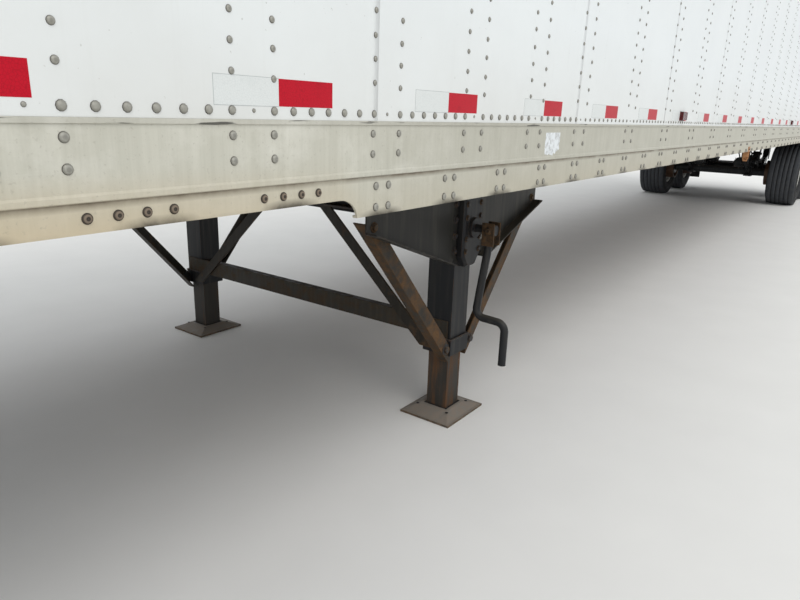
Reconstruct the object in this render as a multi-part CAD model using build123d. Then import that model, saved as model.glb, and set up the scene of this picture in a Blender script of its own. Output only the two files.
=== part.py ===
from build123d import *
import math
import os

os.makedirs("parts", exist_ok=True)

# A 53 foot sheet-and-post van trailer on its landing legs and its rear tandem.
# Millimetres. -X is the nose, +X the doors, -Y the left side, and z = 0 is the ground.

# Body shell
body_length = 16154.0
body_width = 2591.0
inside_height = 2770.0
wall_thickness = 43.0
nose_corner_radius = 120.0
nose_corner_run = 150.0
sheet_inset = 2.0
floor_thickness = 35.0
bow_height = 28.0
bow_width = 60.0
bow_pitch = 609.6
bow_sheet = 3.0
roof_thickness = 10.0
roof_edge_inset = 15.0

# Bottom rail, an extrusion; heights above its lower edge
rail_low = 1060.0
rail_height = 220.0
rail_face_inset = 3.0
rail_web = 6.0
rail_bead_low = 92.0
rail_bead_height = 16.0
rail_lip_height = 10.0
rail_foot_width = 14.0
rail_foot_thickness = 5.0
rail_shallow_rise = 46.0
rail_cove_length = 59.0
rail_cove_end = 2525.0

# Top rail
top_rail_height = 120.0
top_rail_cap = 8.0

# Cross members, rolled I beams under the floor
beam_first = 2618.0
beam_pitch = 304.8
beam_height = 101.6
beam_flange_width = 57.0
beam_flange = 5.0
beam_web = 5.0

# Upper coupler and king pin
coupler_end = 2460.0
coupler_plate = 8.0
coupler_half_width = 1160.0
coupler_nose_radius = 50.0
coupler_beam_last = 2319.0
coupler_beam_pitch = 355.6
coupler_beam_count = 7
coupler_beam_width = 180.0
coupler_beam_sheet = 6.0
king_pin_from_nose = 914.4
king_pin_neck_radius = 25.4
king_pin_head_radius = 35.5
king_pin_collar_radius = 36.5
king_pin_collar_length = 20.0
king_pin_neck_length = 35.0
king_pin_head_length = 19.0
king_pin_chamfer = 6.0

# Rear frame
rear_frame_depth = 110.0
rear_post_width = 70.0
door_opening_height = 2690.0
lamp_radius = 54.0
small_lamp_radius = 32.0
lamp_pocket_depth = 25.0
lamp_stand = 4.0
side_lamp_length = 96.0
side_lamp_depth = 20.0
side_lamp_height = 44.0
side_lamp_end = 260.0
side_lamp_rise = 51.0
hinge_butt_height = 30.0
dock_bumper_depth = 60.0
guard_bar_size = 100.0
guard_bar_low = 460.0
guard_bar_length = 2440.0
guard_leg_spread = 900.0
guard_leg_width = 110.0
guard_leg_plate = 12.0
guard_leg_straight = 200.0
guard_bar_wall = 6.0
guard_inset = 4.0
dock_bumper_width = 130.0
dock_bumper_inset = 40.0
dock_bumper_rise = 6.0
dock_bumper_drop = 25.0

# Doors and lock rods
door_thickness = 45.0
door_inset = 5.0
door_gap = 6.0
door_sill_gap = 8.0
hinge_stand_off = 20.0
hinge_side_inset = 2.0
hinge_knuckle_radius = 12.0
hinge_knuckle_height = 60.0
hinge_knuckle_gap = 1.0
hinge_count = 4
strap_thickness = 7.0
strap_length = 260.0
lock_rod_radius = 13.0
lock_rod_stand_off = 30.0
lock_rod_reach = 64.0
keeper_gap = 26.0
keeper_plate = 8.0
keeper_depth = 34.0
keeper_height = 60.0
keeper_inset = 10.0
hinge_end = 180.0
strap_gap = 6.0
strap_joggle = 34.0
bearing_end = 60.0
bearing_middle = 900.0
bearing_half_width = 32.0
bearing_half_height = 18.0
handle_height = 420.0
handle_length = 330.0
handle_half_width = 16.0
handle_sheet = 8.0
catch_width = 40.0

# Landing gear
leg_from_nose = 3658.0
leg_spread = 1710.0
leg_tube = 127.0
leg_tube_low = 295.0
leg_tube_high = 1030.0
leg_wall = 8.0
inner_tube = 102.0
inner_tube_high = 640.0
collar_size = 143.0
collar_height = 72.0
shoe_length = 295.0
shoe_width = 255.0
shoe_height = 36.0
shoe_plate = 10.0
shoe_rim = 20.0
shoe_seat_gap = 1.5
shoe_seat_rise = 8.0
wing_plate = 6.0
wing_half_length = 650.0
wing_half_foot = 120.0
wing_low = 712.0
wing_end_low = 905.0
wing_flange = 42.0
centre_channel_length = 550.0
centre_channel_width = 220.0
centre_channel_height = 60.0
centre_channel_sheet = 6.0
brace_width = 54.0
brace_flange = 50.0
brace_sheet = 6.0
brace_head_x = 656.0
brace_head_drop = 125.0
brace_foot_drop = 30.0
brace_lap = 90.0
ear_sheet = 8.0
stay_width = 50.0
stay_sheet = 10.0
stay_foot_rise = 20.0
stay_head_y = 45.0
cross_brace_low = 368.0
cross_brace_height = 80.0
cross_brace_depth = 40.0
cross_brace_inset = 14.0
cross_shaft_radius = 14.0
cross_shaft_height = 855.0
gearbox_depth = 36.0
gearbox_width = 138.0
gearbox_low = 692.0
gearbox_taper = 48.0
gearbox_edge = 10.0
crank_boss_radius = 42.0
crank_boss_depth = 14.0
crank_shaft_reach = 64.0
crank_radius = 16.5
crank_bend = 38.0
crank_socket_radius = 22.0
crank_socket_length = 42.0
crank_lean = 28.0
crank_arm = 375.0
crank_throw = 143.0
crank_throw_drop = 6.0
crank_grip = 182.0

# Axles, wheels and tyres
axle_from_tail = 2133.0
axle_pitch = 1245.0
axle_tube_radius = 63.5
axle_step = 14.0
disc_outset = 50.8
tyre_side_inset = 38.0
running_gap = 6.0
tyre_radius = 505.0
tyre_width = 445.0
tread_width = 386.0
tyre_bead_height = 15.0
tyre_flank = 60.0
tyre_flank_inset = 14.0
tyre_shoulder = 22.0
tyre_crown_drop = 8.0
rim_radius = 285.75
rim_half_width = 178.0
rim_flange_height = 12.0
rim_flange_run = 16.0
rim_bead_seat = 40.0
rim_seat_run = 90.0
rim_well_depth = 30.0
rim_sheet = 10.0
disc_sheet = 12.0
disc_flat_radius = 168.0
disc_shoulder_radius = 228.0
disc_shoulder = 40.0
disc_edge = 20.0
hand_holes = 5
hand_hole_radius = 24.0
hub_pilot_radius = 110.0
hub_cap_radius = 78.0
hub_cap_step = 14.0
hub_reach = 150.0
hub_clearance = 2.0
drum_radius = 205.0
drum_width = 190.0
drum_wall = 14.0
drum_start = 60.0
spider_radius = 120.0
spider_sheet = 7.0

# Brakes on the axles
cam_radius = 19.0
cam_behind = 115.0
chamber_y = 320.0
chamber_rise = 150.0
chamber_ahead = 40.0
chamber_radius = 88.0
chamber_length = 236.0
chamber_band = 12.0
push_rod_radius = 8.0
push_rod_hole = 14.0
rod_gap = 20.0
rod_eye = 16.0

# Slider rails and bogie
slider_rail_length = 4104.0
slider_rail_from_frame = 40.0
slider_rail_spread = 1056.0
slider_rail_height = 110.0
slider_rail_sheet = 8.0
slider_rail_flange = 70.0
slider_rail_lip = 38.0
pin_hole_radius = 20.0
pin_hole_pitch = 152.4
pin_hole_count = 25
pin_hole_end = 120.0
lock_pin_row = 1
pin_gap = 1.0
pin_reach = 25.0
bogie_front = 721.0
bogie_rear = 684.0
bogie_gap = 1.0
bogie_width = 48.0
bogie_drop = 34.0
bogie_pad = 42.0
bogie_tube = 80.0

# Springs, hangers and arms
spring_inset = 64.0
spring_width = 76.0
spring_half_length = 545.0
spring_camber = 80.0
leaf_half_lengths = [spring_half_length, 436.0, 290.0]
leaf_thickness = 18.0
seat_height = 92.0
seat_half_length = 70.0
seat_plate = 12.0
bolt_radius = 10.0
bolt_tail = 30.0
hanger_low = 650.0
hanger_gap = 30.0
hanger_top = 190.0
hanger_foot = 104.0
cheek_gap = 6.0
cheek_sheet = 8.0
wear_pad = 14.0
equaliser_half_length = 120.0
equaliser_pad = 60.0
equaliser_nose = 24.0
equaliser_rise = 20.0
equaliser_height = 96.0
equaliser_pin_radius = 20.0
arm_radius = 16.0
arm_eye_radius = 26.0
arm_gap = 2.0
arm_axle_x = 120.0
arm_axle_z = 30.0

# Flaps, air tank and nose couplings
flap_width = 600.0
flap_low = 200.0
flap_thickness = 8.0
flap_gap = 95.0
flap_side_inset = 6.0
flap_arm = 40.0
tank_gap = 60.0
tank_radius = 120.0
tank_length = 620.0
tank_drop = 144.0
tank_band = 40.0
tank_band_sheet = 4.0
coupling_height = 190.0
coupling_plate_width = 480.0
coupling_plate_height = 140.0
coupling_sheet = 6.0
coupling_spread = 330.0
coupling_depth = 54.0
coupling_foot = 18.0
coupling_radius = 32.0
socket_depth = 55.0
socket_radius = 34.0

# Places worked out from the sizes above
nose = -body_length / 2
tail = nose + body_length
half_width = body_width / 2
sheet_low = rail_low + rail_height
wall_out = half_width - sheet_inset
wall_in = wall_out - wall_thickness
rail_in = half_width - rail_face_inset - rail_web
beam_low = rail_low + rail_foot_thickness
floor_low = beam_low + beam_height
floor_top = floor_low + floor_thickness
coupler_low = rail_low + rail_shallow_rise
wall_top = floor_top + inside_height + bow_height - top_rail_cap
roof_low = wall_top + top_rail_cap
body_top = roof_low + roof_thickness
top_rail_low = roof_low - top_rail_height
frame_front = tail - rear_frame_depth
side_start = nose + nose_corner_run
header_low = floor_top + door_opening_height
leg_x = nose + leg_from_nose
leg_y = leg_spread / 2
leg_out = leg_y + leg_tube / 2
axle_places = [tail - axle_from_tail, tail - axle_from_tail + axle_pitch]
hub_track = body_width - tyre_width - 2 * (tyre_side_inset + disc_outset)
slider_rail_end = frame_front - slider_rail_from_frame
slider_rail_start = slider_rail_end - slider_rail_length
pin_hole_z = beam_low - slider_rail_height / 2
bogie_start = axle_places[0] - bogie_front
bogie_end = axle_places[1] + bogie_rear
pin_hole_last = slider_rail_end - pin_hole_end
lock_pin_rows = [lock_pin_row, int((pin_hole_last - bogie_start) / pin_hole_pitch) - lock_pin_row]
bogie_out = slider_rail_spread / 2 - slider_rail_lip - bogie_gap
bogie_in = bogie_out - bogie_width
bogie_wide = slider_rail_spread / 2 - slider_rail_sheet - bogie_gap
bogie_step = beam_low - slider_rail_height + slider_rail_sheet + bogie_gap
bogie_high = beam_low - slider_rail_sheet
bogie_low = bogie_step - bogie_gap - bogie_drop
spring_y = slider_rail_spread / 2 - spring_inset
spring_top = tyre_radius + seat_height + len(leaf_half_lengths) * leaf_thickness
spring_radius = (spring_half_length**2 + spring_camber**2) / (2 * spring_camber)
spring_end_top = spring_top + spring_camber
cheek_in = spring_width / 2 + cheek_gap
hanger_places = [
    axle_places[0] - spring_half_length - hanger_gap,
    (axle_places[0] + axle_places[1]) / 2,
    axle_places[1] + spring_half_length + hanger_gap,
]
flap_x = axle_places[1] + tyre_radius + flap_gap
hinge_x = tail + hinge_stand_off
hinge_y = half_width - hinge_side_inset
door_out = tail - door_inset
door_in = door_out - door_thickness
door_side = half_width - rear_post_width - door_gap
door_low = floor_top + door_sill_gap
door_high = header_low - door_sill_gap


def block(x0, x1, y0, y1, z0, z1):
    """A plain rectangular piece between two corners."""
    return Pos((x0 + x1) / 2, (y0 + y1) / 2, (z0 + z1) / 2) * Box(x1 - x0, y1 - y0, z1 - z0)


def along_x(outline, x0, x1):
    """An extrusion of a (y, z) outline from x0 to x1."""
    return Pos(x0, 0, 0) * extrude(Plane.YZ * make_face(Polyline(*outline, close=True)), x1 - x0)


def along_y(outline, y0, y1):
    """An extrusion of an (x, z) outline from y0 to y1."""
    return Pos(0, y1, 0) * extrude(Plane.XZ * make_face(Polyline(*outline, close=True)), y1 - y0)


def along_z(outline, z0, z1):
    """An extrusion of an (x, y) outline from z0 to z1."""
    return Pos(0, 0, z0) * extrude(make_face(Polyline(*outline, close=True)), z1 - z0)


def rod_y(radius, x, z, y0, y1):
    """A round bar that lies across the trailer."""
    return Pos(x, (y0 + y1) / 2, z) * Rot(90, 0, 0) * Cylinder(radius, y1 - y0)


def rod_z(radius, x, y, z0, z1):
    """An upright round bar."""
    return Pos(x, y, (z0 + z1) / 2) * Cylinder(radius, z1 - z0)


def other_side(shape):
    """The same piece on the right side."""
    return mirror(shape, about=Plane.XZ)


def both_sides(shape):
    """A left piece and its mirror image, apart from each other."""
    return Compound(children=list(shape.solids()) + list(other_side(shape).solids()))


def save(node, shape):
    export_step(shape, f"parts/{node}.step")


# Body shell


def nose_band(inset, thickness, z0, z1):
    """An upright band round the nose with its two rounded corners, set back by inset."""

    def ring(offset):
        corner = nose_corner_radius - offset
        size_x = 2 * (nose_corner_run - offset)
        size_y = 2 * (half_width - offset)
        face = RectangleRounded(size_x, size_y, corner)
        return Pos(side_start, 0, z0) * extrude(face, z1 - z0)

    band = ring(inset) - ring(inset + thickness)
    return band & block(nose - 1, side_start, -half_width, half_width, z0 - 1, z1 + 1)


def front_wall():
    upper = nose_band(sheet_inset, wall_thickness, sheet_low, wall_top)
    rail_inset = rail_face_inset + rail_web
    lower = nose_band(rail_inset, sheet_inset + wall_thickness - rail_inset, floor_low, sheet_low)
    return upper + lower


def left_wall():
    outline = [
        (-rail_in, floor_low),
        (-wall_in, floor_low),
        (-wall_in, wall_top),
        (-wall_out, wall_top),
        (-wall_out, sheet_low),
        (-rail_in, sheet_low),
    ]
    return along_x(outline, side_start, frame_front)


def left_bottom_rail():
    face = half_width - rail_face_inset
    bead_high = rail_bead_low + rail_bead_height
    lip_low = rail_height - rail_lip_height
    bead_slope = rail_bead_height / 4
    section = [
        (face, 0),
        (face, rail_bead_low),
        (half_width, rail_bead_low + bead_slope),
        (half_width, bead_high - bead_slope),
        (face, bead_high),
        (face, lip_low),
        (half_width, lip_low + rail_face_inset / 2),
        (half_width, rail_height),
        (rail_in, rail_height),
        (rail_in, rail_foot_thickness),
        (face - rail_foot_width, rail_foot_thickness),
        (face - rail_foot_width, 0),
    ]
    outline = [(-y, rail_low + z) for y, z in section]
    rail = along_x(outline, side_start, frame_front)
    cove_end = nose + rail_cove_end
    cove_start = cove_end - rail_cove_length
    arc = EllipticalCenterArc((cove_start, rail_low), rail_cove_length, rail_shallow_rise, arc_size=90)
    top = rail_low + rail_shallow_rise
    under = rail_low - 1
    edge = Polyline(
        (cove_start, top),
        (side_start - 1, top),
        (side_start - 1, under),
        (cove_end, under),
        (cove_end, rail_low),
    )
    notch = extrude(Plane.XZ * make_face(Curve() + [arc, edge]), body_width)
    return rail - Pos(0, body_width / 2, 0) * notch


def top_rail(x0, x1):
    """The left top rail: a face over the wall's upper edge and a cap on it."""
    face_in = wall_out
    outline = [
        (-half_width, top_rail_low),
        (-face_in, top_rail_low),
        (-face_in, wall_top),
        (-wall_in, wall_top),
        (-wall_in, roof_low),
        (-half_width, roof_low),
    ]
    return along_x(outline, x0, x1)


def nose_top_rail():
    face = nose_band(0, sheet_inset, top_rail_low, wall_top)
    return face + nose_band(0, sheet_inset + wall_thickness, wall_top, roof_low)


def nose_bottom_rail():
    return nose_band(rail_face_inset, rail_web, coupler_low + coupler_nose_radius, sheet_low)


def floor_deck():
    front = nose + sheet_inset + wall_thickness
    corner = nose_corner_radius - sheet_inset - wall_thickness
    outline = [
        (front + corner, -wall_in),
        (frame_front, -wall_in),
        (frame_front, wall_in),
        (front + corner, wall_in),
        (front, wall_in - corner),
        (front, -wall_in + corner),
    ]
    return along_z(outline, floor_low, floor_top)


def roof_sheet():
    size_x = frame_front - nose - roof_edge_inset
    centre_x = nose + roof_edge_inset + size_x / 2
    plate = Box(size_x, 2 * (half_width - roof_edge_inset), roof_thickness)
    return Pos(centre_x, 0, roof_low + roof_thickness / 2) * plate


def bow_section(x):
    """The hat section of one roof bow, open at its top."""
    half = bow_width / 2
    brim = bow_width / 4
    low = roof_low - bow_height
    return [
        (x - half - brim, roof_low),
        (x - half - brim, roof_low - bow_sheet),
        (x - half, roof_low - bow_sheet),
        (x - half + brim / 2, low),
        (x + half - brim / 2, low),
        (x + half, roof_low - bow_sheet),
        (x + half + brim, roof_low - bow_sheet),
        (x + half + brim, roof_low),
        (x + half - bow_sheet, roof_low),
        (x + half - brim / 2 - bow_sheet, low + bow_sheet),
        (x - half + brim / 2 + bow_sheet, low + bow_sheet),
        (x - half + bow_sheet, roof_low),
    ]


def roof_bows():
    count = int((frame_front - side_start) / bow_pitch)
    places = [side_start + bow_pitch * (i + 0.5) for i in range(count)]
    bows = [along_y(bow_section(x), -wall_in, wall_in) for x in places]
    return Compound(children=bows)


def beam_section(x):
    half_flange = beam_flange_width / 2
    half_web = beam_web / 2
    low, high = beam_low, beam_low + beam_height
    return [
        (x - half_flange, low),
        (x + half_flange, low),
        (x + half_flange, low + beam_flange),
        (x + half_web, low + beam_flange),
        (x + half_web, high - beam_flange),
        (x + half_flange, high - beam_flange),
        (x + half_flange, high),
        (x - half_flange, high),
        (x - half_flange, high - beam_flange),
        (x - half_web, high - beam_flange),
        (x - half_web, low + beam_flange),
        (x - half_flange, low + beam_flange),
    ]


def cross_members():
    count = 1 + int((body_length - rear_frame_depth - beam_flange_width - beam_first) / beam_pitch)
    places = [nose + beam_first + beam_pitch * i for i in range(count)]
    return Compound(children=[along_y(beam_section(x), -rail_in, rail_in) for x in places])


def upper_coupler():
    """The pick-up plate with its turned-up leading edge, on inverted channels."""
    end = nose + coupler_end
    start = nose + rail_face_inset + rail_web
    bend = coupler_nose_radius
    outer = CenterArc((start + bend, coupler_low + bend), bend, 180, 90)
    inner = CenterArc((start + bend, coupler_low + bend), bend - coupler_plate, 180, 90)
    top = coupler_low + coupler_plate
    edges = [
        outer,
        Line((start + bend, coupler_low), (end, coupler_low)),
        Line((end, coupler_low), (end, top)),
        Line((end, top), (start + bend, top)),
        inner,
        Line((start, coupler_low + bend), (start + coupler_plate, coupler_low + bend)),
    ]
    face = make_face(Curve() + edges)
    plate = extrude(Plane.XZ * face, coupler_half_width, both=True)
    coupler = plate
    for i in range(coupler_beam_count):
        x = nose + coupler_beam_last - coupler_beam_pitch * i
        half = coupler_beam_width / 2
        sheet = coupler_beam_sheet
        section = [
            (x - half, top),
            (x - half + sheet, top),
            (x - half + sheet, floor_low - sheet),
            (x + half - sheet, floor_low - sheet),
            (x + half - sheet, top),
            (x + half, top),
            (x + half, floor_low),
            (x - half, floor_low),
        ]
        reach = rail_in if i < coupler_beam_count - 1 else rail_in - nose_corner_radius
        coupler += along_y(section, -reach, reach)
    return coupler


def king_pin():
    collar_low = -king_pin_collar_length
    neck_low = collar_low - king_pin_neck_length
    head_low = neck_low - king_pin_head_length
    outline = Polyline(
        (0, 0),
        (king_pin_collar_radius, 0),
        (king_pin_collar_radius, collar_low),
        (king_pin_neck_radius, collar_low),
        (king_pin_neck_radius, neck_low),
        (king_pin_head_radius, neck_low),
        (king_pin_head_radius, head_low + king_pin_chamfer),
        (king_pin_head_radius - king_pin_chamfer, head_low),
        (0, head_low),
        close=True,
    )
    pin = revolve(Plane.XZ * make_face(outline), Axis.Z)
    return Pos(nose + king_pin_from_nose, 0, coupler_low) * pin


# Rear frame, guard and doors

sill_lamp_places = [860.0, 720.0]
header_lamp_places = [0.0, 160.0, 1180.0]
lock_rod_places = [300.0, 900.0]
header_lamp_z = header_low + (body_top - header_low) / 2
sill_lamp_z = rail_low + (floor_top - rail_low) / 2
hinge_first = door_low + hinge_end
hinge_pitch = (door_high - door_low - 2 * hinge_end) / (hinge_count - 1)
hinge_heights = [hinge_first + hinge_pitch * i for i in range(hinge_count)]


def lamp_spots():
    """Every rear lamp as (y, z, radius)."""
    spots = [(side * y, sill_lamp_z, lamp_radius) for y in sill_lamp_places for side in (-1, 1)]
    for y in header_lamp_places:
        sides = (-1, 1) if y else (1,)
        spots += [(side * y, header_lamp_z, small_lamp_radius) for side in sides]
    return spots


def keepers():
    """The forked keepers that the lock rods' ends drop between."""
    plates = []
    for place in lock_rod_places:
        for low in (floor_top - keeper_height - keeper_inset, header_low + keeper_inset):
            for side in (-1, 1):
                y = -hinge_y + place + side * (keeper_gap + keeper_plate / 2)
                plates.append(
                    block(
                        tail,
                        tail + keeper_depth,
                        y - keeper_plate / 2,
                        y + keeper_plate / 2,
                        low,
                        low + keeper_height,
                    )
                )
    return plates


def hinge_butts():
    """The outer knuckles of each hinge and the butts that weld them to the post."""
    pieces = []
    outer = hinge_knuckle_height / 2 + hinge_knuckle_gap
    for z in hinge_heights:
        for z0 in (z - outer - hinge_butt_height, z + outer):
            z1 = z0 + hinge_butt_height
            knuckle = rod_z(hinge_knuckle_radius, hinge_x, -hinge_y, z0, z1)
            butt = block(tail, hinge_x, -hinge_y, -hinge_y + hinge_knuckle_radius, z0, z1)
            pieces.append(knuckle + butt)
    return pieces


def rear_frame():
    outer = Pos(0, (rail_low + body_top) / 2) * Rectangle(body_width, body_top - rail_low)
    opening_width = body_width - 2 * rear_post_width
    opening = Pos(0, (floor_top + header_low) / 2) * Rectangle(opening_width, header_low - floor_top)
    frame = Pos(frame_front, 0, 0) * extrude(Plane.YZ * (outer - opening), rear_frame_depth)
    for y, z, radius in lamp_spots():
        pocket = Pos(tail - lamp_pocket_depth / 2, y, z) * Rot(0, 90, 0)
        frame -= pocket * Cylinder(radius, lamp_pocket_depth)
    for piece in keepers() + hinge_butts():
        frame += piece
        frame += other_side(piece)
    return frame


def rear_lamps():
    lamps = []
    for y, z, radius in lamp_spots():
        depth = lamp_pocket_depth + lamp_stand
        place = Pos(tail - lamp_pocket_depth + depth / 2, y, z) * Rot(0, 90, 0)
        lamps.append(place * Cylinder(radius, depth))
    return Compound(children=lamps)


side_lamp_places = [
    nose + side_lamp_end,
    nose + body_length / 3,
    tail - body_length / 3,
    tail - side_lamp_end,
]
side_lamp_z = sheet_low + side_lamp_rise


def side_lamps():
    lamps = []
    for x in side_lamp_places:
        body = Pos(x, -wall_out - side_lamp_depth / 2, side_lamp_z)
        body *= Box(side_lamp_length, side_lamp_depth, side_lamp_height)
        lamps.append(body)
        lamps.append(other_side(body))
    return Compound(children=lamps)


def dock_bumpers():
    y1 = half_width - dock_bumper_inset
    y0 = y1 - dock_bumper_width
    low, high = rail_low + dock_bumper_rise, floor_top - dock_bumper_drop
    return both_sides(block(tail, tail + dock_bumper_depth, -y1, -y0, low, high))


def impact_guard():
    """The hollow bar below the sill on two tapered plate legs."""
    back = tail - guard_inset
    front = back - guard_bar_size
    high = guard_bar_low + guard_bar_size
    half, wall = guard_bar_length / 2, guard_bar_wall
    guard = block(front, back, -half, half, guard_bar_low, high)
    guard -= block(front + wall, back - wall, -half, half, guard_bar_low + wall, high - wall)
    leg_outline = [
        (back - guard_leg_width, rail_low),
        (back - guard_leg_width, rail_low - guard_leg_straight),
        (front + wall, high),
        (back, high),
        (back, rail_low),
    ]
    for side in (-1, 1):
        y = side * guard_leg_spread / 2
        guard += along_y(leg_outline, y - guard_leg_plate / 2, y + guard_leg_plate / 2)
    return guard


def door_panel():
    return block(door_in, door_out, -door_side, -door_gap, door_low, door_high)


def door_straps():
    """The door's own knuckle at each hinge and the joggled strap on the door's face."""
    pieces = []
    near = tail + strap_gap
    far = near + strap_thickness
    edge = -door_side
    outline = [
        (near, -hinge_y),
        (near, edge),
        (door_out, edge),
        (door_out, edge + strap_length),
        (door_out + strap_thickness, edge + strap_length),
        (far, edge + strap_joggle),
        (far, -hinge_y),
    ]
    half = hinge_knuckle_height / 2
    for z in hinge_heights:
        knuckle = rod_z(hinge_knuckle_radius, hinge_x, -hinge_y, z - half, z + half)
        pieces.append(knuckle + along_z(outline, z - half, z + half))
    return pieces


def lock_rods():
    """Upright lock rods in their bearings, with a flat handle and its catch on each."""
    pieces = []
    rod_x = door_out + lock_rod_stand_off
    handle_x = rod_x + lock_rod_radius
    handle_z = door_low + handle_height
    heights = [
        door_low + bearing_end,
        door_low + bearing_middle,
        door_high - bearing_middle,
        door_high - bearing_end,
    ]
    for place in lock_rod_places:
        y = -hinge_y + place
        y0, y1 = y - bearing_half_width, y + bearing_half_width
        rod = rod_z(lock_rod_radius, rod_x, y, floor_top - lock_rod_reach, header_low + lock_rod_reach)
        for z in heights:
            rod += block(door_out, rod_x, y0, y1, z - bearing_half_height, z + bearing_half_height)
        grip_low, grip_high = handle_z - handle_half_width, handle_z + handle_half_width
        end = y + handle_length
        rod += block(rod_x, handle_x + handle_sheet, y, end, grip_low, grip_high)
        catch_y = end - 1.5 * catch_width
        catch_low = grip_low - handle_half_width
        rod += block(door_out, handle_x, catch_y, catch_y + catch_width, catch_low, grip_high)
        pieces.append(rod)
    return pieces


def lock_gear():
    pieces = door_straps() + lock_rods()
    return Compound(children=[solid for piece in pieces for solid in piece.solids()])


# Landing gear


def leg_bore(size, low, high):
    """The square hole down the middle of the left leg."""
    half = size / 2
    return block(leg_x - half, leg_x + half, -leg_y - half, -leg_y + half, low, high)


def leg_housing():
    """The square outer tube with its lower collar and an ear for each raking brace."""
    half = leg_tube / 2
    rim = collar_size / 2
    collar_high = leg_tube_low + collar_height
    tube = block(leg_x - half, leg_x + half, -leg_y - half, -leg_y + half, leg_tube_low, leg_tube_high)
    tube += block(leg_x - rim, leg_x + rim, -leg_y - rim, -leg_y + rim, leg_tube_low, collar_high)
    ear_y = -leg_out + brace_sheet
    ear = brace_strip(-brace_lap, rim, 2 * brace_sheet, brace_width - brace_sheet, ear_y, ear_y + ear_sheet)
    tube += ear
    tube += about_leg(ear)
    tube -= leg_bore(inner_tube, leg_tube_low - 1, collar_high + 1)
    return tube - leg_bore(leg_tube - 2 * leg_wall, collar_high, leg_tube_high - leg_wall)


def gearbox_outline():
    half = gearbox_width / 2
    return [
        (leg_x - half, leg_tube_high),
        (leg_x - half, gearbox_low + gearbox_taper),
        (leg_x - half / 2, gearbox_low),
        (leg_x + half / 2, gearbox_low),
        (leg_x + half, gearbox_low + gearbox_taper),
        (leg_x + half, leg_tube_high),
    ]


def gearbox():
    """The pressed cover over the gears, pointed below, with the crank's boss and shaft."""
    out = leg_out + wing_plate + gearbox_depth
    case = along_y(gearbox_outline(), -out, -leg_out)
    case = chamfer(case.faces().sort_by(Axis.Y)[0].edges(), gearbox_edge)
    case += rod_y(crank_boss_radius, leg_x, cross_shaft_height, -out - crank_boss_depth, -out)
    case += rod_y(crank_radius, leg_x, cross_shaft_height, -out - crank_shaft_reach, -out)
    return case


def inner_tube_solid():
    """The square inner tube, which slides in the collar and stands in the shoe's seat."""
    low = shoe_plate + shoe_seat_rise
    tube = leg_bore(inner_tube, low, inner_tube_high)
    return tube - leg_bore(inner_tube - 2 * leg_wall, low + leg_wall, inner_tube_high + 1)


def shoe():
    """A pressed foot: a flat tread with a raised, tapering rim round the tube."""
    base = Box(shoe_length, shoe_width, shoe_plate, align=(Align.CENTER, Align.CENTER, Align.MIN))
    rim = inner_tube + 2 * shoe_rim
    low = Pos(0, 0, shoe_plate) * Rectangle(shoe_length - shoe_rim, shoe_width - shoe_rim)
    high = Pos(0, 0, shoe_height) * Rectangle(rim, rim)
    boss = loft([low, high])
    seat_size = inner_tube + 2 * shoe_seat_gap
    seat_low = shoe_plate + shoe_seat_rise
    seat = Pos(0, 0, seat_low) * Box(
        seat_size, seat_size, shoe_height, align=(Align.CENTER, Align.CENTER, Align.MIN)
    )
    return Pos(leg_x, -leg_y, 0) * (base + boss - seat)


def about_leg(shape):
    """The same piece on the other side of the leg, fore and aft."""
    return mirror(shape, about=Plane.YZ.offset(leg_x))


def wing_outline():
    """The wing plate's (x, z) outline: a wide top that narrows to the leg."""
    return [
        (leg_x - wing_half_length, beam_low),
        (leg_x - wing_half_length, wing_end_low),
        (leg_x - wing_half_foot, wing_low),
        (leg_x + wing_half_foot, wing_low),
        (leg_x + wing_half_length, wing_end_low),
        (leg_x + wing_half_length, beam_low),
    ]


def leg_bracket():
    """The wing plate, its top edge bent inward and its two lower edges bent outward."""
    out = leg_out + wing_plate
    plate = along_y(wing_outline(), -out, -leg_out)
    x0, x1 = leg_x - wing_half_length, leg_x + wing_half_length
    plate += block(x0, x1, -leg_out, -leg_out + wing_flange, beam_low - wing_plate, beam_low)
    lower_edge = [
        (leg_x - wing_half_length, wing_end_low),
        (leg_x - wing_half_foot, wing_low),
        (leg_x - wing_half_foot, wing_low + wing_plate),
        (leg_x - wing_half_length, wing_end_low + wing_plate),
    ]
    flange = along_y(lower_edge, -out - wing_flange, -out)
    plate += flange
    return plate + about_leg(flange)


def centre_channel():
    """The short channel under the cross members that takes the two inner stays."""
    half, sheet = centre_channel_width / 2, centre_channel_sheet
    low = beam_low - centre_channel_height
    outline = [
        (-half, beam_low),
        (-half, low),
        (half, low),
        (half, beam_low),
        (half - sheet, beam_low),
        (half - sheet, low + sheet),
        (-half + sheet, low + sheet),
        (-half + sheet, beam_low),
    ]
    return along_x(outline, leg_x - centre_channel_length / 2, leg_x + centre_channel_length / 2)


def brace_strip(start, leg_gap, low, high, y0, y1):
    """A bar along the front brace's lower edge line, from start along it down to the leg.

    low and high are its edges' distances up from that line, and a start below 0 counts
    back from the line's foot. The bar is cut upright leg_gap ahead of the leg's middle,
    and level at the line's head.
    """
    head_x, head_z = leg_x - brace_head_x, beam_low - brace_head_drop
    foot_x, foot_z = leg_x - collar_size / 2, leg_tube_low - brace_foot_drop
    run = math.hypot(foot_x - head_x, foot_z - head_z)
    along = ((foot_x - head_x) / run, (foot_z - head_z) / run)
    up = (-along[1], along[0])
    begin = start - brace_width if start >= 0 else run + start
    end = run + brace_width

    def corner(distance, height):
        x = head_x + along[0] * distance + up[0] * height
        return (x, head_z + along[1] * distance + up[1] * height)

    outline = [corner(begin, low), corner(end, low), corner(end, high), corner(begin, high)]
    bar = along_y(outline, y0, y1)
    under = block(leg_x - body_width, leg_x - leg_gap, y0, y1, 0, head_z)
    return bar & under


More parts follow.
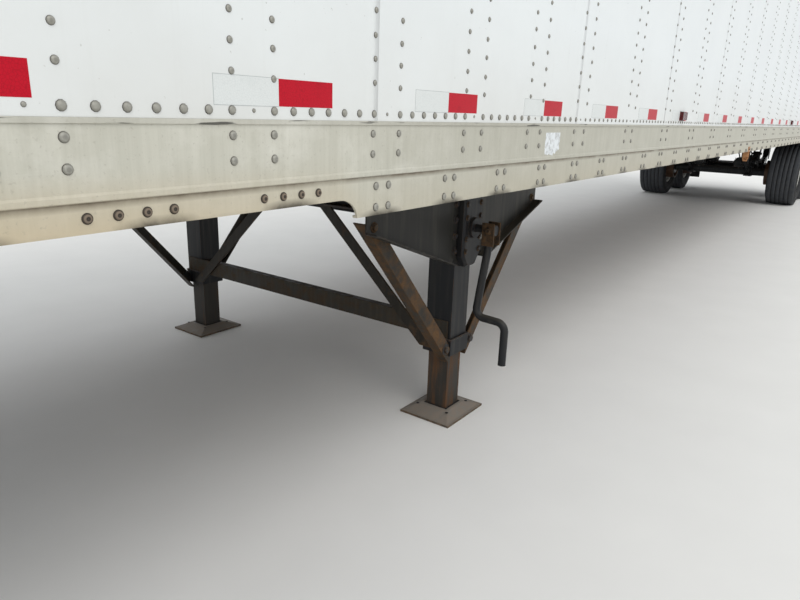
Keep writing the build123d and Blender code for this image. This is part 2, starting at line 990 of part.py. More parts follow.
def outer_brace():
    """The left leg's raking angle ahead of it: one flange behind the wing, one turned in below."""
    rim = collar_size / 2
    face = brace_strip(0, rim, 0, brace_width, -leg_out, -leg_out + brace_sheet)
    return face + brace_strip(0, rim, 0, brace_sheet, -leg_out, -leg_out + brace_flange)


def inner_stay():
    """The flat stay on the front of the leg, from the collar up to the centre channel."""
    y0, z0 = -leg_y + collar_size / 2 - stay_width / 2, leg_tube_low + stay_foot_rise
    y1, z1 = -stay_head_y, beam_low - centre_channel_height
    run = math.hypot(y1 - y0, z1 - z0)
    lift = stay_width / 2 * run / (z1 - z0)
    outline = [(y0 - lift, z0), (y0 + lift, z0), (y1 + lift, z1), (y1 - lift, z1)]
    front = leg_x - collar_size / 2
    return along_x(outline, front - stay_sheet, front)


def leg_braces():
    ahead = outer_brace()
    left = [ahead, about_leg(ahead), inner_stay()]
    pieces = left + [other_side(piece) for piece in left]
    return Compound(children=pieces)


def cross_brace():
    """A channel between the legs, its web lapped over their front faces."""
    face = leg_x - leg_tube / 2
    front = face - brace_sheet
    high = cross_brace_low + cross_brace_height
    reach = leg_out - cross_brace_inset
    inside = leg_y - leg_tube / 2 - cross_brace_inset
    brace = block(front, face, -reach, reach, cross_brace_low, high)
    for low in (cross_brace_low, high - brace_sheet):
        brace += block(front, front + cross_brace_depth, -inside, inside, low, low + brace_sheet)
    return brace


def cross_shaft():
    reach = leg_y - leg_tube / 2
    return rod_y(cross_shaft_radius, leg_x, cross_shaft_height, -reach, reach)


def crank():
    """The folded crank: a socket on the gearbox shaft, a long arm, a throw and a grip."""
    shaft_end = leg_out + wing_plate + gearbox_depth + crank_shaft_reach
    top = cross_shaft_height
    points = [
        (-shaft_end - crank_socket_length / 2, top),
        (-shaft_end + crank_lean, top - crank_arm),
        (-shaft_end + crank_lean - crank_throw, top - crank_arm - crank_throw_drop),
        (-shaft_end + crank_lean - crank_throw, top - crank_arm - crank_throw_drop - crank_grip),
    ]
    path = Plane.YZ.offset(leg_x) * FilletPolyline(*points, radius=crank_bend)
    section = Plane(origin=path @ 0, z_dir=path % 0) * Circle(crank_radius)
    socket = rod_y(crank_socket_radius, leg_x, top, -shaft_end - crank_socket_length, -shaft_end)
    return socket + sweep(section, path=path)


# Running gear


def tyre(y):
    """One road tyre, revolved from its bead, flank, sidewall, shoulder and crown."""
    half, tread = tyre_width / 2, tread_width / 2
    bead = rim_half_width - rim_flange_run
    side = (tyre_radius + rim_radius) / 2
    outline = [
        (rim_radius, bead),
        (rim_radius + tyre_bead_height, bead),
        (side - tyre_flank, half - tyre_flank_inset),
        (side, half),
        (side + tyre_flank, half - tyre_flank_inset / 2),
        (tyre_radius - tyre_crown_drop - tyre_shoulder, tread + tyre_shoulder / 2),
        (tyre_radius - tyre_crown_drop, tread),
        (tyre_radius, tread / 2),
    ]
    outline += [(radius, -across) for radius, across in reversed(outline)]
    ring = revolve(make_face(Polyline(*outline, close=True)), Axis.Y)
    return Pos(0, y, 0) * ring


def rim(y):
    """One rim in section: flanges, tapered seats and the drop centre, one sheet thick."""
    half, flat = rim_half_width, rim_half_width - rim_seat_run
    lip, well = rim_radius + rim_flange_height, rim_radius - rim_well_depth
    outline = [
        (lip, half),
        (rim_radius, half - rim_flange_run),
        (rim_radius, half - rim_flange_run - rim_bead_seat),
        (well, flat),
        (well, -flat),
        (rim_radius, -half + rim_flange_run + rim_bead_seat),
        (rim_radius, -half + rim_flange_run),
        (lip, -half),
        (rim_radius - rim_sheet, -half + rim_sheet),
        (well - rim_sheet, -flat + rim_sheet),
        (well - rim_sheet, flat - rim_sheet),
        (rim_radius - rim_sheet, half - rim_sheet),
    ]
    return Pos(0, y, 0) * revolve(make_face(Polyline(*outline, close=True)), Axis.Y)


def disc():
    """The dished disc, flat at the nuts, that reaches out to the drop centre of its rim."""
    well = rim_radius - rim_well_depth - rim_sheet / 2
    edge = disc_outset + disc_edge
    outline = [
        (hub_pilot_radius, disc_sheet),
        (disc_flat_radius, disc_sheet),
        (disc_shoulder_radius, disc_shoulder + disc_sheet),
        (well, edge),
        (well, edge - disc_edge),
        (disc_shoulder_radius + disc_sheet, disc_shoulder),
        (disc_flat_radius + disc_sheet / 2, 0),
        (hub_pilot_radius, 0),
    ]
    outline = [(radius, -across) for radius, across in outline]
    dish = revolve(make_face(Polyline(*outline, close=True)), Axis.Y)
    hole_radius = (disc_flat_radius + disc_shoulder_radius) / 2
    for i in range(hand_holes):
        turn = Rot(0, 360 / hand_holes * (i + 0.5), 0)
        place = Pos(hole_radius, 0, 0) * Rot(90, 0, 0)
        dish -= turn * place * Cylinder(hand_hole_radius, 4 * disc_shoulder)
    return dish


def hub_and_drum():
    """The hub with its cap outboard, its flange, and the brake drum inboard of the disc."""
    flange = 2 * disc_sheet
    bore = axle_tube_radius - axle_step + hub_clearance
    drum_inner = drum_radius - drum_wall
    outline = [
        (0, -hub_reach),
        (hub_cap_radius - hub_cap_step, -hub_reach),
        (hub_cap_radius, -hub_reach + hub_cap_step),
        (hub_cap_radius, -flange),
        (hub_pilot_radius, -flange),
        (hub_pilot_radius, 0),
        (disc_flat_radius, 0),
        (drum_radius, drum_start),
        (drum_radius, drum_start + drum_width),
        (drum_inner, drum_start + drum_width),
        (drum_inner, drum_start + drum_wall),
        (disc_flat_radius, drum_wall),
        (hub_pilot_radius, drum_wall),
        (bore + drum_wall, hub_reach),
        (bore, hub_reach),
        (bore, -hub_reach / 2),
        (0, -hub_reach / 2),
    ]
    return revolve(make_face(Polyline(*outline, close=True)), Axis.Y)


def wheel_assembly():
    """One wide disc wheel on its hub and drum, at the origin; -y is outboard."""
    return hub_and_drum() + rim(-disc_outset) + disc()


def spring_seat(side):
    """What is welded round the axle at one spring: seat, bottom plate and the arm's bracket."""
    y = side * spring_y
    half = spring_width / 2 + 2 * bolt_radius
    length = seat_half_length + 2.5 * bolt_radius
    bottom = -axle_tube_radius - seat_plate
    seat = block(-seat_half_length, seat_half_length, y - half, y + half, 0, seat_height)
    seat += block(-length, length, y - half, y + half, bottom, bottom + 2 * seat_plate)
    bracket = [
        (-arm_axle_x - arm_eye_radius, arm_axle_z - arm_eye_radius),
        (-arm_axle_x - arm_eye_radius, arm_axle_z + arm_eye_radius),
        (0, seat_height),
        (0, bottom),
    ]
    inside = arm_radius + arm_gap
    for plate_y in (y - inside - seat_plate, y + inside):
        seat += along_y(bracket, plate_y, plate_y + seat_plate)
    return seat


def brake_carrier():
    """The left plate that holds a brake chamber and its cam, with the chamber's face plate."""
    near = chamber_y + 3 * rod_gap
    front = -chamber_ahead - seat_plate
    high = chamber_rise + chamber_radius / 2
    outline = [
        (front, -axle_tube_radius / 2),
        (front, high),
        (-chamber_ahead, high),
        (0, axle_tube_radius),
        (cam_behind + cam_radius, cam_radius),
        (cam_behind + cam_radius, -cam_radius),
    ]
    carrier = along_y(outline, -near, -near + seat_plate)
    low = chamber_rise - chamber_radius / 2
    face = block(front, -chamber_ahead, -near, -chamber_y + chamber_radius / 2, low, high)
    hole = Pos(front, -chamber_y, chamber_rise) * Rot(0, 90, 0) * Cylinder(push_rod_hole, 3 * seat_plate)
    return carrier + (face - hole)


def slack_arm():
    """The left cam's lever: two cheeks with the push rod's pin between them."""
    outline = [
        (cam_behind - cam_radius, 0),
        (cam_behind - rod_eye, chamber_rise + rod_eye),
        (cam_behind + rod_eye, chamber_rise + rod_eye),
        (cam_behind + cam_radius, 0),
    ]
    arm = rod_y(push_rod_radius, cam_behind, chamber_rise, -chamber_y - rod_gap, -chamber_y + rod_gap)
    for y in (-chamber_y - rod_gap - seat_plate, -chamber_y + rod_gap):
        arm += along_y(outline, y, y + seat_plate)
    return arm


def axle(x):
    """A round axle with spindles, spring seats, brake spiders, cam tubes and slack arms."""
    spindle_start = hub_track / 2 - hub_reach - running_gap
    spindle_end = hub_track / 2 + hub_reach / 2 - running_gap
    spider_y = hub_track / 2 - drum_start - drum_width + drum_wall
    outline = Polyline(
        (0, 0),
        (axle_tube_radius, 0),
        (axle_tube_radius, spindle_start - axle_step),
        (axle_tube_radius - axle_step, spindle_start),
        (axle_tube_radius - axle_step, spindle_end),
        (0, spindle_end),
        close=True,
    )
    half_beam = revolve(make_face(outline), Axis.Y)
    half_beam += spring_seat(1)
    half_beam += rod_y(spider_radius, 0, 0, spider_y - spider_sheet, spider_y + spider_sheet)
    half_beam += rod_y(cam_radius, cam_behind, 0, chamber_y - rod_gap, spider_y)
    half_beam += other_side(brake_carrier())
    half_beam += other_side(slack_arm())
    beam = half_beam + other_side(half_beam)
    return Pos(x, 0, tyre_radius) * beam


def slider_rails():
    """The inward channels under the cross members, holed for the bogie's lock pins."""
    out = slider_rail_spread / 2
    web_in = out - slider_rail_sheet
    high, low = beam_low, beam_low - slider_rail_height
    outline = [
        (-out, low),
        (-out, high),
        (-out + slider_rail_flange, high),
        (-out + slider_rail_flange, high - slider_rail_sheet),
        (-web_in, high - slider_rail_sheet),
        (-web_in, low + slider_rail_sheet),
        (-out + slider_rail_lip, low + slider_rail_sheet),
        (-out + slider_rail_lip, low),
    ]
    rail = along_x(outline, slider_rail_start, slider_rail_end)
    for i in range(pin_hole_count):
        x = pin_hole_last - pin_hole_pitch * i
        rail -= rod_y(pin_hole_radius, x, pin_hole_z, -out - 1, -web_in + 1)
    return both_sides(rail)


def slider_frame():
    """The bogie's side rails, cross tubes and spring hangers in one weldment."""
    side_rail = [
        (-bogie_in, bogie_low),
        (-bogie_out, bogie_low),
        (-bogie_out, bogie_step),
        (-bogie_wide, bogie_step),
        (-bogie_wide, bogie_step + bogie_pad),
        (-bogie_out, bogie_step + bogie_pad),
        (-bogie_out, bogie_high),
        (-bogie_in, bogie_high),
    ]
    frame = along_x(side_rail, bogie_start, bogie_end)
    frame += other_side(frame)
    for x in hanger_places + axle_places:
        frame += block(
            x - bogie_tube / 2,
            x + bogie_tube / 2,
            -bogie_in,
            bogie_in,
            bogie_low,
            bogie_low + bogie_tube,
        )
    for x in hanger_places:
        hanger = hanger_pair(x)
        frame += hanger
        frame += other_side(hanger)
    for row in lock_pin_rows:
        x = pin_hole_last - pin_hole_pitch * row
        pin = rod_y(pin_hole_radius - pin_gap, x, pin_hole_z, -slider_rail_spread / 2 - pin_reach, -bogie_in)
        frame += pin
        frame += other_side(pin)
    return frame


def hanger_pair(x):
    """Two cheeks either side of the left spring, with what bears on the leaves between them."""
    top_half, foot_half = hanger_top / 2, hanger_foot / 2
    cheek = [
        (x - top_half, bogie_low),
        (x + top_half, bogie_low),
        (x + foot_half, hanger_low),
        (x - foot_half, hanger_low),
    ]
    out = cheek_in + cheek_sheet
    top_low = bogie_low - cheek_sheet
    pieces = block(x - top_half, x + top_half, -spring_y - out, -spring_y + out, top_low, bogie_low)
    pieces += along_y(cheek, -spring_y - out, -spring_y - cheek_in)
    pieces += along_y(cheek, -spring_y + cheek_in, -spring_y + out)
    if x == hanger_places[1]:
        return pieces + equaliser(x)
    pad_low = spring_end_top
    pad = block(
        x - foot_half, x + foot_half, -spring_y - cheek_in, -spring_y + cheek_in, pad_low, pad_low + wear_pad
    )
    web = block(
        x - cheek_sheet, x + cheek_sheet, -spring_y - cheek_in, -spring_y + cheek_in, pad_low, bogie_low
    )
    return pieces + pad + web


def equaliser(x):
    """The centre rocker that shares the load between the two springs on the left."""
    half, arm = equaliser_half_length, equaliser_half_length - equaliser_pad
    low = spring_end_top
    outline = [
        (x - half, low),
        (x - arm, low),
        (x, low + equaliser_rise),
        (x + arm, low),
        (x + half, low),
        (x + half, low + equaliser_nose),
        (x + equaliser_nose, low + equaliser_height),
        (x - equaliser_nose, low + equaliser_height),
        (x - half, low + equaliser_nose),
    ]
    rocker = along_y(outline, -spring_y - spring_width / 2, -spring_y + spring_width / 2)
    pin_z = low + (equaliser_rise + equaliser_height) / 2
    reach = cheek_in + cheek_sheet + pin_reach
    return rocker + rod_y(equaliser_pin_radius, x, pin_z, -spring_y - reach, -spring_y + reach)


def leaf(radius, half_length, top):
    """An arched leaf in the (x, z) plane; its upper face is lowest at x = 0, z = top."""
    centre_z = top + radius
    span = math.asin(half_length / radius)
    upper, lower = [
        [(r * math.sin(a), centre_z - r * math.cos(a)) for a in (-span, 0, span)]
        for r in (radius, radius + leaf_thickness)
    ]
    edges = [
        ThreePointArc(*upper),
        Line(upper[2], lower[2]),
        ThreePointArc(*lower),
        Line(lower[0], upper[0]),
    ]
    return extrude(Plane.XZ * make_face(Curve() + edges), spring_width / 2, both=True)


def spring_pack():
    """Three leaves of falling length, their clamp plate and its four bolt legs, at x = y = 0."""
    pack = leaf(spring_radius, spring_half_length, spring_top)
    for i, half_length in enumerate(leaf_half_lengths[1:], start=1):
        pack += leaf(spring_radius + i * leaf_thickness, half_length, spring_top - i * leaf_thickness)
    half = spring_width / 2 + 2 * bolt_radius
    bolt_x = seat_half_length + bolt_radius
    length = bolt_x + 1.5 * bolt_radius
    high = spring_top + seat_plate
    pack += block(-length, length, -half, half, spring_top - 1, high)
    low = tyre_radius - axle_tube_radius + seat_plate
    for x in (-bolt_x, bolt_x):
        for y in (-half + bolt_radius, half - bolt_radius):
            pack += rod_z(bolt_radius, x, y, low, high + bolt_tail)
    return pack


def leaf_springs():
    pack = spring_pack()
    packs = [Pos(x, side * spring_y, 0) * pack for x in axle_places for side in (-1, 1)]
    return Compound(children=packs)


def torque_arms():
    """The four round arms that hold the axles square, from hanger foot to axle bracket."""
    arms = []
    for x, hanger_x in zip(axle_places, hanger_places):
        x0, z0 = hanger_x, hanger_low + arm_eye_radius
        x1, z1 = x - arm_axle_x, tyre_radius + arm_axle_z
        run = math.hypot(x1 - x0, z1 - z0)
        angle = math.degrees(math.atan2(z1 - z0, x1 - x0))
        bar = Pos((x0 + x1) / 2, 0, (z0 + z1) / 2) * Rot(0, 90 - angle, 0) * Cylinder(arm_radius, run)
        for x_eye, z_eye in ((x0, z0), (x1, z1)):
            bar += rod_y(arm_eye_radius, x_eye, z_eye, -arm_radius, arm_radius)
        bar += rod_y(equaliser_pin_radius, x0, z0, -cheek_in, cheek_in)
        bar += rod_y(equaliser_pin_radius, x1, z1, -arm_radius - arm_gap, arm_radius + arm_gap)
        arms += [Pos(0, side * spring_y, 0) * bar for side in (-1, 1)]
    return Compound(children=arms)


def brake_chambers():
    """Two-piece spring brake chambers ahead of each axle, each with its push rod."""
    length, can = chamber_length, chamber_radius - chamber_band
    rod_end = chamber_ahead + seat_plate + cam_behind - push_rod_radius
    outline = Polyline(
        (0, -rod_end),
        (push_rod_radius, -rod_end),
        (push_rod_radius, 0),
        (chamber_radius / 2, 0),
        (can, chamber_band),
        (can, length / 3),
        (chamber_radius, length / 3),
        (chamber_radius, length / 3 + chamber_band),
        (can, length / 3 + chamber_band),
        (can, length - chamber_radius / 3),
        (chamber_radius / 2, length),
        (0, length),
        close=True,
    )
    chamber = Rot(0, -90, 0) * revolve(Plane.XZ * make_face(outline), Axis.Z)
    chambers = []
    for x in axle_places:
        for side in (-1, 1):
            place = Pos(x - chamber_ahead - seat_plate, side * chamber_y, tyre_radius + chamber_rise)
            chambers.append(place * chamber)
    return Compound(children=chambers)


def mud_flaps():
    outer = half_width - flap_side_inset
    flap = block(flap_x, flap_x + flap_thickness, -outer, -outer + flap_width, flap_low, bogie_low)
    return both_sides(flap)


def flap_brackets():
    """The square arms behind the flaps, welded to the rear hangers' cheeks."""
    outer = half_width - flap_side_inset
    x = flap_x + flap_thickness
    inner = spring_y + cheek_in + cheek_sheet
    return both_sides(block(x, x + flap_arm, -outer, -inner, bogie_low - flap_arm, bogie_low))


def air_tank():
    """The reservoir, banded up to a cross member ahead of the bogie."""
    room = bogie_start - tank_radius - tank_gap - nose - beam_first
    x = nose + beam_first + beam_pitch * int(room / beam_pitch)
    z = beam_low - tank_drop
    half, dish = tank_length / 2, tank_radius / 3
    outline = [
        (0, -half),
        (tank_radius - dish, -half),
        (tank_radius, -half + dish),
        (tank_radius, half - dish),
        (tank_radius - dish, half),
        (0, half),
    ]
    tank = Pos(x, 0, z) * revolve(make_face(Polyline(*outline, close=True)), Axis.Y)
    for y in (-half / 2, half / 2):
        y0, y1 = y - tank_band / 2, y + tank_band / 2
        tank += rod_y(tank_radius + tank_band_sheet, x, z, y0, y1)
        tank += block(x - tank_band / 4, x + tank_band / 4, y0, y1, z, beam_low)
    return tank


def nose_connectors():
    """The plate on the nose with the cable socket and an air coupling on each side of it."""
    front = nose + sheet_inset
    z = sheet_low + coupling_height
    half_y, half_z = coupling_plate_width / 2, coupling_plate_height / 2
    pieces = block(front - coupling_sheet, front, -half_y, half_y, z - half_z, z + half_z)
    socket_end = front - socket_depth
    pieces += Pos((front + socket_end) / 2, 0, z) * Rot(0, 90, 0) * Cylinder(socket_radius, socket_depth)
    lid_low = z + socket_radius - coupling_sheet / 2
    pieces += block(socket_end, front, -socket_radius, socket_radius, lid_low, lid_low + coupling_sheet)
    for side in (-1, 1):
        y = side * coupling_spread / 2
        end = front - coupling_depth
        pieces += block(end, front, y - coupling_foot, y + coupling_foot, z - half_z / 2, z)
        coupling = Rot(0, 90, 0) * Cylinder(coupling_radius, coupling_foot)
        pieces += Pos(end + coupling_foot / 2, y, z) * coupling
    return pieces


def build_shell():
    save("front_wall", front_wall())
    wall = left_wall()
    save("left_wall", wall)
    save("right_wall", other_side(wall))
    rail = left_bottom_rail()
    save("left_bottom_rail", rail)
    save("right_bottom_rail", other_side(rail))
    upper = top_rail(side_start, frame_front)
    save("left_top_rail", upper)
    save("right_top_rail", other_side(upper))
    save("nose_top_rail", nose_top_rail())
    save("nose_bottom_rail", nose_bottom_rail())
    save("floor_deck", floor_deck())
    save("roof_sheet", roof_sheet())
    save("roof_bows", roof_bows())
    save("cross_members", cross_members())
    save("upper_coupler", upper_coupler())
    save("king_pin", king_pin())
    save("nose_connectors", nose_connectors())


def build_rear():
    save("rear_frame", rear_frame())
    save("rear_lamps", rear_lamps())
    save("side_lamps", side_lamps())
    save("dock_bumpers", dock_bumpers())
    save("impact_guard", impact_guard())
    panel = door_panel()
    save("left_door", panel)
    save("right_door", other_side(panel))
    gear = lock_gear()
    save("left_lock_gear", gear)
    save("right_lock_gear", Compound(children=[other_side(solid) for solid in gear.solids()]))


def build_landing_gear():
    save("left_leg_housing", leg_housing() + gearbox())
    save("right_leg_housing", other_side(leg_housing()))
    save("inner_legs", both_sides(inner_tube_solid()))
    save("leg_shoes", both_sides(shoe()))
    left = leg_bracket()
    opening = along_y(gearbox_outline(), -leg_out - wing_plate, -leg_out)
    wings = list((left - opening).solids()) + list(other_side(left).solids())
    save("leg_brackets", Compound(children=wings + [centre_channel()]))
    save("leg_braces", leg_braces())
    save("leg_cross_brace", cross_brace())
    save("leg_cross_shaft", cross_shaft())
    save("leg_crank", crank())


def build_running_gear():
    wheel = wheel_assembly()
    ring = tyre(-disc_outset)
    for name, x in zip(("front", "rear"), axle_places):
        save(f"{name}_axle", axle(x))
        place = Pos(x, -hub_track / 2, tyre_radius)
        left_wheel = place * wheel
        left_tyre = place * ring
        save(f"{name}_left_wheel", left_wheel)
        save(f"{name}_right_wheel", other_side(left_wheel))
        save(f"{name}_left_tyres", left_tyre)
        save(f"{name}_right_tyres", other_side(left_tyre))
    save("slider_rails", slider_rails())
    save("slider_frame", slider_frame())
    save("leaf_springs", leaf_springs())
    save("torque_arms", torque_arms())
    save("brake_chambers", brake_chambers())
    save("mud_flaps", mud_flaps())
    save("flap_brackets", flap_brackets())
    save("air_tank", air_tank())


build_shell()
build_rear()
build_landing_gear()
build_running_gear()
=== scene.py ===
import math

import bpy
import numpy as np
from mathutils import Matrix, Vector


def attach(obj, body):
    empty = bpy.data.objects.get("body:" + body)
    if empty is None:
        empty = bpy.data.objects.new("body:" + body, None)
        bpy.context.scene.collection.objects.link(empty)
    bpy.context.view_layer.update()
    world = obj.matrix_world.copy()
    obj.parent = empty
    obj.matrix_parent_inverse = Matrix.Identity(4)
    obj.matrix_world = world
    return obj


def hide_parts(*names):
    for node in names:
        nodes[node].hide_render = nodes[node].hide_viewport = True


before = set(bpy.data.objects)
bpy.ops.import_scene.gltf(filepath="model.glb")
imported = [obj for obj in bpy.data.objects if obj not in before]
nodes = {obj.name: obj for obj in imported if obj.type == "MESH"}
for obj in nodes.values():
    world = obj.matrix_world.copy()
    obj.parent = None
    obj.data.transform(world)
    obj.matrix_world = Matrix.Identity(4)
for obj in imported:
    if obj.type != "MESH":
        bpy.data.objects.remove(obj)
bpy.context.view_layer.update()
rng = np.random.default_rng(53)


# The photograph's viewpoint
# A hand-held camera about a metre off the left side, a little behind the king pin.
# It looks back along the trailer and down at the landing leg, and leans a little.

camera_place = (-6.677, -2.247, 1.302)
camera_yaw, camera_pitch, camera_roll = (math.radians(a) for a in (36.15, -16.6, 1.9))

camera = bpy.data.objects.new("camera", bpy.data.cameras.new("camera"))
bpy.context.scene.collection.objects.link(camera)
bpy.context.scene.camera = camera
camera.data.sensor_width, camera.data.lens = 36.0, 28.35
camera.data.clip_start, camera.data.clip_end = 0.05, 400.0
ahead = Vector(
    (
        math.cos(camera_pitch) * math.cos(camera_yaw),
        math.cos(camera_pitch) * math.sin(camera_yaw),
        math.sin(camera_pitch),
    )
)
level = Vector((math.sin(camera_yaw), -math.cos(camera_yaw), 0))
lean = Matrix.Rotation(-camera_roll, 3, ahead)
turn = Matrix((lean @ level, lean @ level.cross(ahead), -ahead)).transposed()
camera.matrix_world = Matrix.Translation(camera_place) @ turn.to_4x4()


# The floor and the studio's light
# A plain pale floor under an even white sky, with one broad soft lamp from the photo's side.
# The sky looks white to the camera and lights the trailer at a plain level.


def linear(colour):
    """An sRGB hex colour as linear red, green, blue and 1: the sRGB curve on each channel."""
    channel = np.array([int(colour[i : i + 2], 16) for i in (0, 2, 4)]) / 255
    bright = ((channel + 0.055) / 1.055) ** 2.4
    return (*np.where(channel <= 0.04045, channel / 12.92, bright).tolist(), 1.0)


def feed(node, inputs):
    """Gives each socket a plain value, a hex colour, an output, or another node's first output in use."""
    for socket, value in inputs.items():
        if isinstance(value, bpy.types.Node):
            value = next(output for output in value.outputs if output.enabled)
        if isinstance(value, bpy.types.NodeSocket):
            node.id_data.links.new(value, node.inputs[socket])
        else:
            node.inputs[socket].default_value = linear(value) if isinstance(value, str) else value


def add(tree, kind, inputs=None, **settings):
    """Adds a node with its settings, and feeds its sockets."""
    node = tree.nodes.new("ShaderNode" + kind)
    for name, value in settings.items():
        setattr(node, name, value)
    feed(node, inputs or {})
    return node


def new_finish(name, colour, rough, metal=0.0, **sockets):
    """A new material with its plain values on the shader. Gives the material, its nodes, shader and place."""
    made = bpy.data.materials.new(name)
    made.use_nodes = True
    tree = made.node_tree
    shader = tree.nodes["Principled BSDF"]
    shader.inputs["Base Color"].default_value = linear(colour)
    shader.inputs["Roughness"].default_value = rough
    shader.inputs["Metallic"].default_value = metal
    for socket, value in sockets.items():
        shader.inputs[socket.replace("_", " ")].default_value = value
    place = add(tree, "TexCoord").outputs["Object"]
    return made, tree, shader, place


def mesh_piece(name, points, faces, finish, body="trailer", smooth=False):
    """A mesh from an (n, 3) array of points and a list of face arrays, one for each number of corners."""
    points = np.asarray(points, np.float32).reshape(-1, 3)
    groups = [np.asarray(f, np.int32) for f in faces]
    sizes = np.concatenate([np.full(len(f), f.shape[1], np.int32) for f in groups])
    corners = np.concatenate([f.ravel() for f in groups])
    mesh = bpy.data.meshes.new(name)
    mesh.vertices.add(len(points))
    mesh.vertices.foreach_set("co", points.ravel())
    mesh.loops.add(len(corners))
    mesh.loops.foreach_set("vertex_index", corners)
    mesh.polygons.add(len(sizes))
    mesh.polygons.foreach_set("loop_start", (np.cumsum(sizes) - sizes).astype(np.int32))
    mesh.polygons.foreach_set("use_smooth", np.full(len(sizes), smooth))
    mesh.materials.append(finish)
    mesh.update(calc_edges=True)
    piece = bpy.data.objects.new(name, mesh)
    bpy.context.scene.collection.objects.link(piece)
    if body:
        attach(piece, body)
    return piece


# Matt floor paint. A faint mottle 330 mm across keeps it from looking like paper.
floor_paint, tree, shader, place = new_finish("pale_studio_floor", "E4E3E0", 0.85)
floor_grain = add(tree, "TexNoise", {"Vector": place, "Scale": 3.0, "Detail": 6.0})
floor_tint = add(tree, "Mix", {0: floor_grain, 6: "E0DFDC", 7: "E8E7E4"}, data_type="RGBA")
feed(shader, {"Base Color": floor_tint})
reach = 150.0
floor_corners = [(-reach, -reach, 0), (reach, -reach, 0), (reach, reach, 0), (-reach, reach, 0)]
mesh_piece("studio_floor", floor_corners, [[[0, 1, 2, 3]]], floor_paint, body=None)

world = bpy.data.worlds.new("studio_sky")
bpy.context.scene.world = world
world.use_nodes = True
sky = world.node_tree
sky.nodes.clear()
seen = add(sky, "LightPath")
to_camera, through = seen.outputs["Is Camera Ray"], seen.outputs["Is Transmission Ray"]
straight = add(sky, "Math", {0: to_camera, 1: through}, operation="MAXIMUM")
glow = add(sky, "Background", {"Color": "F2F5F8", "Strength": 0.97})
white = add(sky, "Background", {"Color": (1, 1, 1, 1), "Strength": 1.0})
either = add(sky, "MixShader", {0: straight, 1: glow, 2: white})
add(sky, "OutputWorld", {0: either})

lamp_data = bpy.data.lights.new("soft_lamp", "SUN")
lamp_data.energy, lamp_data.angle, lamp_data.color = 1.15, math.radians(40), (1.0, 0.985, 0.96)
lamp = bpy.data.objects.new("soft_lamp", lamp_data)
bpy.context.scene.collection.objects.link(lamp)
lamp.rotation_euler = Vector((-0.45, -0.75, 1.0)).to_track_quat("Z", "Y").to_euler()
bpy.context.scene.view_settings.view_transform = "Standard"


# Side walls
# Pre-painted white aluminium sheets, 1.3 mm thick and four feet wide, riveted to upright posts.
# Each sheet laps over the next one behind it, and swells a little between the rivets.

foot = 0.3048
hands = ((-1, "left"), (1, "right"))
wall_face = 1.2935
sheet_foot, sheet_head = 1.2805, 3.8796
body_front, body_back = -7.927, 7.967
seam_post = -5.448
sheet_width = 4 * foot
close_posts = seam_post - foot * 4 / 3 * np.arange(-3, 7)
wide_posts = seam_post + sheet_width + 2 * foot * np.arange(1, 20)
posts = np.sort(np.concatenate([close_posts, wide_posts]))
lap_behind, lap_run, lap_height, lap_slope = 0.038, 0.026, 0.0013, 0.014
sheet_rest, swell = 0.0003, 0.0016
sheet_rows, sheet_step = 44, 0.06
back_steps = np.array([0.042, 0.033, 0.025, 0.0, 0.0])


def smooth_step(low, high, value):
    """0 below low, 1 above high, and the cubic 3t² - 2t³ between them."""
    t = np.clip((value - low) / (high - low), 0, 1)
    return t * t * (3 - 2 * t)


def skin(x, z):
    """How far a sheet stands off: rest + swell · sin²(π · place between posts) · slow waves, + the lap."""
    after = np.clip(np.searchsorted(posts, x) - 1, 0, len(posts) - 2)
    between = np.clip((x - posts[after]) / (posts[after + 1] - posts[after]), 0, 1)
    held = smooth_step(sheet_foot, sheet_foot + 0.3, z) * smooth_step(sheet_head, sheet_head - 0.3, z)
    waves = 0.5 + 0.28 * np.sin(9.1 * z + 2.3 * x) + 0.22 * np.sin(14.3 * z - 5.1 * x + 1.7)
    lap = (x - seam_post + lap_behind) % sheet_width
    lapped = smooth_step(sheet_width - lap_run - lap_slope, sheet_width - lap_run, lap)
    return sheet_rest + swell * np.sin(np.pi * between) ** 2 * waves * held + lap_height * lapped


def at(x, y, z):
    """Points from three coordinates, numbers or arrays: spread to one shape and set side by side."""
    return np.stack([a.ravel() for a in np.broadcast_arrays(x, y, z)], 1).astype(float)


def grid_faces(rows, columns, closed=False):
    """Quads of a grid of points, row by row, as corner numbers. Closed joins the last column to the first."""
    row = np.arange(rows - 1)[:, None] * columns
    column = np.arange(columns if closed else columns - 1)[None, :]
    ahead_one = (column + 1) % columns
    corners = [row + column, row + ahead_one, row + columns + ahead_one, row + columns + column]
    return np.stack(corners, -1).reshape(-1, 4)


def laid_over(tree, colour, layers):
    """Colours laid over the first one, each by how far its source lies from low to high, times its most."""
    for source, low, high, most, over in layers:
        amount = add(tree, "MapRange", {0: source, 1: low, 2: high, 3: 0.0, 4: most})
        colour = add(tree, "Mix", {0: amount, 6: colour, 7: over}, data_type="RGBA")
    return colour


def paint(finish, *pieces):
    """Gives CAD pieces a finish."""
    for piece in pieces:
        nodes[piece].data.materials[0] = finish


